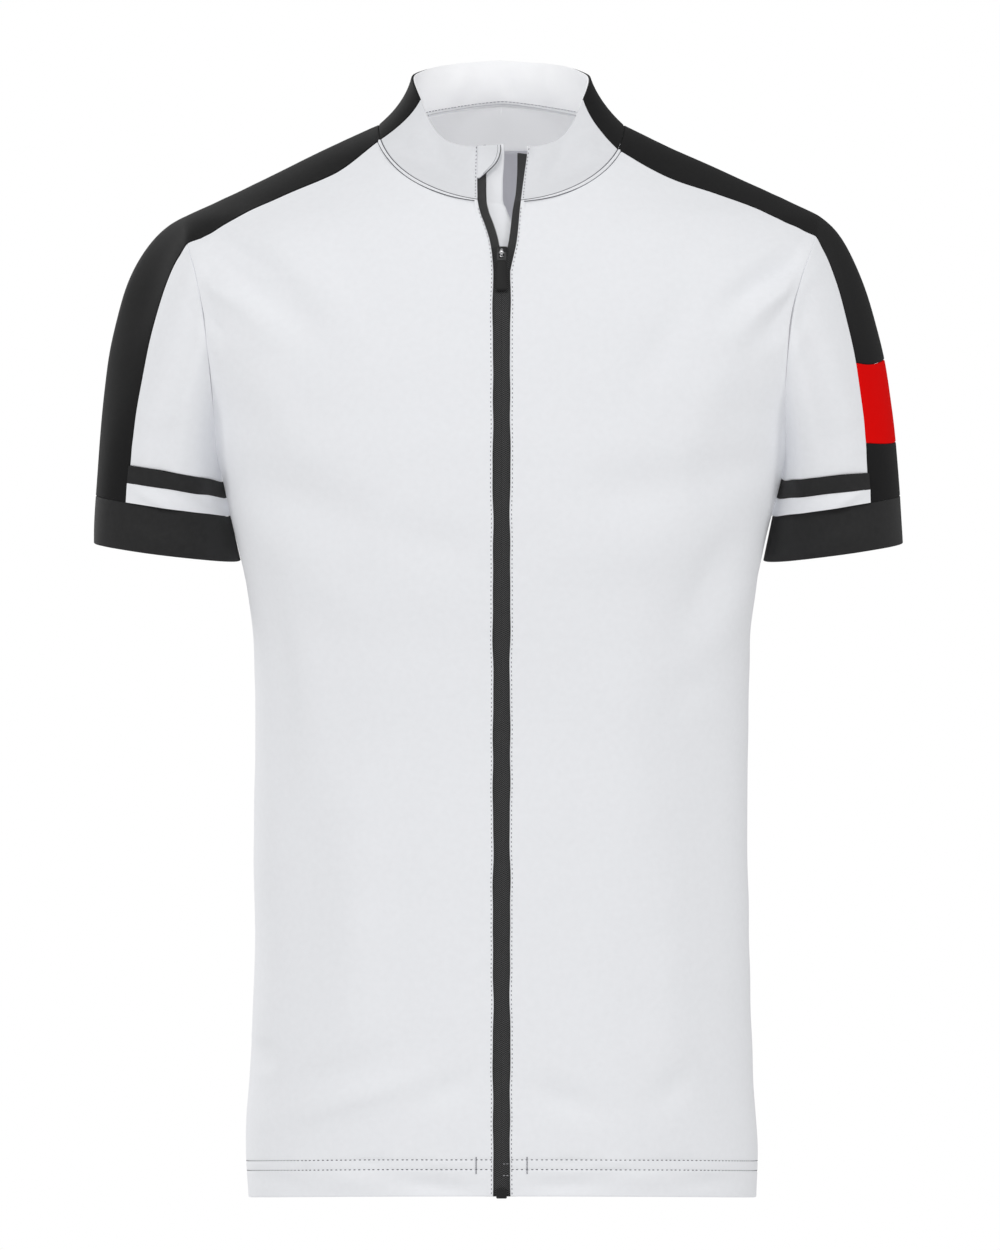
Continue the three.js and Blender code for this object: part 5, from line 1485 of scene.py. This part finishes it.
tab = rounded([
    (-PULL["end_half"], -PULL["length"]), (PULL["end_half"], -PULL["length"]),
    (PULL["half"], -PULL["eye_length"] - 0.8), (-PULL["half"], -PULL["eye_length"] - 0.8),
], 1.9, steps=7)
points, faces = rounded_plate(tab, -PULL["thickness"] / 2, PULL["thickness"] / 2, 0.6)
tab_parts = [(placed(points, pivot, turn), faces)]
solid("pull_tab_rubber", tab_parts, RUBBER, body="pull_tab", nodes=["zip_pull"])

origin, turn = on_tapes(HEM_Z + HEM_LIFT)
box_outline = rounded([
    (-BOX["half"], -BOX["below"]), (BOX["half"], -BOX["below"]),
    (BOX["half"], BOX["above"]), (-BOX["half"], BOX["above"]),
], 0.8)
points, faces = rounded_plate(box_outline, BOX["low"], BOX["high"], 0.4)
solid("box", [(placed(points, origin, turn), faces)], PLASTIC, nodes=["zip_box"])


# The studio
def stage():
    """A white room, soft lights, a pale floor below and the camera in front."""
    scene = bpy.context.scene
    world = bpy.data.worlds.new("studio")
    scene.world = world
    world.use_nodes = True
    nodes, links = world.node_tree.nodes, world.node_tree.links
    nodes.clear()
    output = nodes.new("ShaderNodeOutputWorld")
    seen, lit = nodes.new("ShaderNodeBackground"), nodes.new("ShaderNodeBackground")
    seen.inputs["Color"].default_value = (1, 1, 1, 1)
    lit.inputs["Color"].default_value = (1, 1, 1, 1)
    lit.inputs["Strength"].default_value = ROOM_LIGHT
    path, mix = nodes.new("ShaderNodeLightPath"), nodes.new("ShaderNodeMixShader")
    links.new(path.outputs["Is Camera Ray"], mix.inputs[0])
    links.new(lit.outputs[0], mix.inputs[1])
    links.new(seen.outputs[0], mix.inputs[2])
    links.new(mix.outputs[0], output.inputs[0])

    for name, place, aim, size, power in LAMPS:
        data = bpy.data.lights.new(name, "AREA")
        data.shape, data.size, data.energy = "DISK", size, power
        lamp = bpy.data.objects.new(name, data)
        lamp.location = place
        direction = Vector(aim) - Vector(place)
        lamp.rotation_euler = direction.to_track_quat("-Z", "Y").to_euler()
        scene.collection.objects.link(lamp)

    floor_data = bpy.data.meshes.new("floor")
    turns = np.linspace(0, 2 * math.pi, 97)[:-1]
    rim = [(FLOOR_RADIUS * math.cos(t), FLOOR_RADIUS * math.sin(t), FLOOR_Z) for t in turns]
    floor_data.from_pydata(rim, [], [list(range(len(rim)))])
    floor = bpy.data.objects.new("floor", floor_data)
    floor_data.materials.append(shader("floor", (0.85, 0.85, 0.85), 0.9)[0])
    scene.collection.objects.link(floor)

    camera_data = bpy.data.cameras.new("camera")
    camera_data.sensor_fit = "VERTICAL"
    camera_data.sensor_width = camera_data.sensor_height = 36
    camera_data.lens = 36 * CAMERA_DISTANCE / VIEW_HEIGHT
    camera = bpy.data.objects.new("camera", camera_data)
    camera.location = (CAMERA_X, -CAMERA_DISTANCE, CAMERA_Z)
    camera.rotation_euler = (math.pi / 2, 0, 0)
    scene.collection.objects.link(camera)
    scene.camera = camera
    scene.view_settings.view_transform = "Standard"
    scene.view_settings.look = "None"


# The studio in metres: the room's light, and lamps by place, aim, size and power
ROOM_LIGHT = 0.4
LAMPS = [
    ("right", (-3.8, -2.4, 1.5), (0, 0, -0.2), 1.6, 39),
    ("left", (3.8, -2.4, 1.5), (0, 0, -0.2), 2.0, 48),
    ("above", (-0.4, -3.0, 2.2), (0, 0, -0.2), 1.0, 34),
    ("behind", (-2.2, 3.2, 1.6), (0, 0, -0.3), 1.4, 62),
]
FLOOR_Z, FLOOR_RADIUS = -1.0, 2.6
CAMERA_DISTANCE, CAMERA_X, CAMERA_Z, VIEW_HEIGHT = 4.5, -0.00099, -0.3247, 0.825
stage()
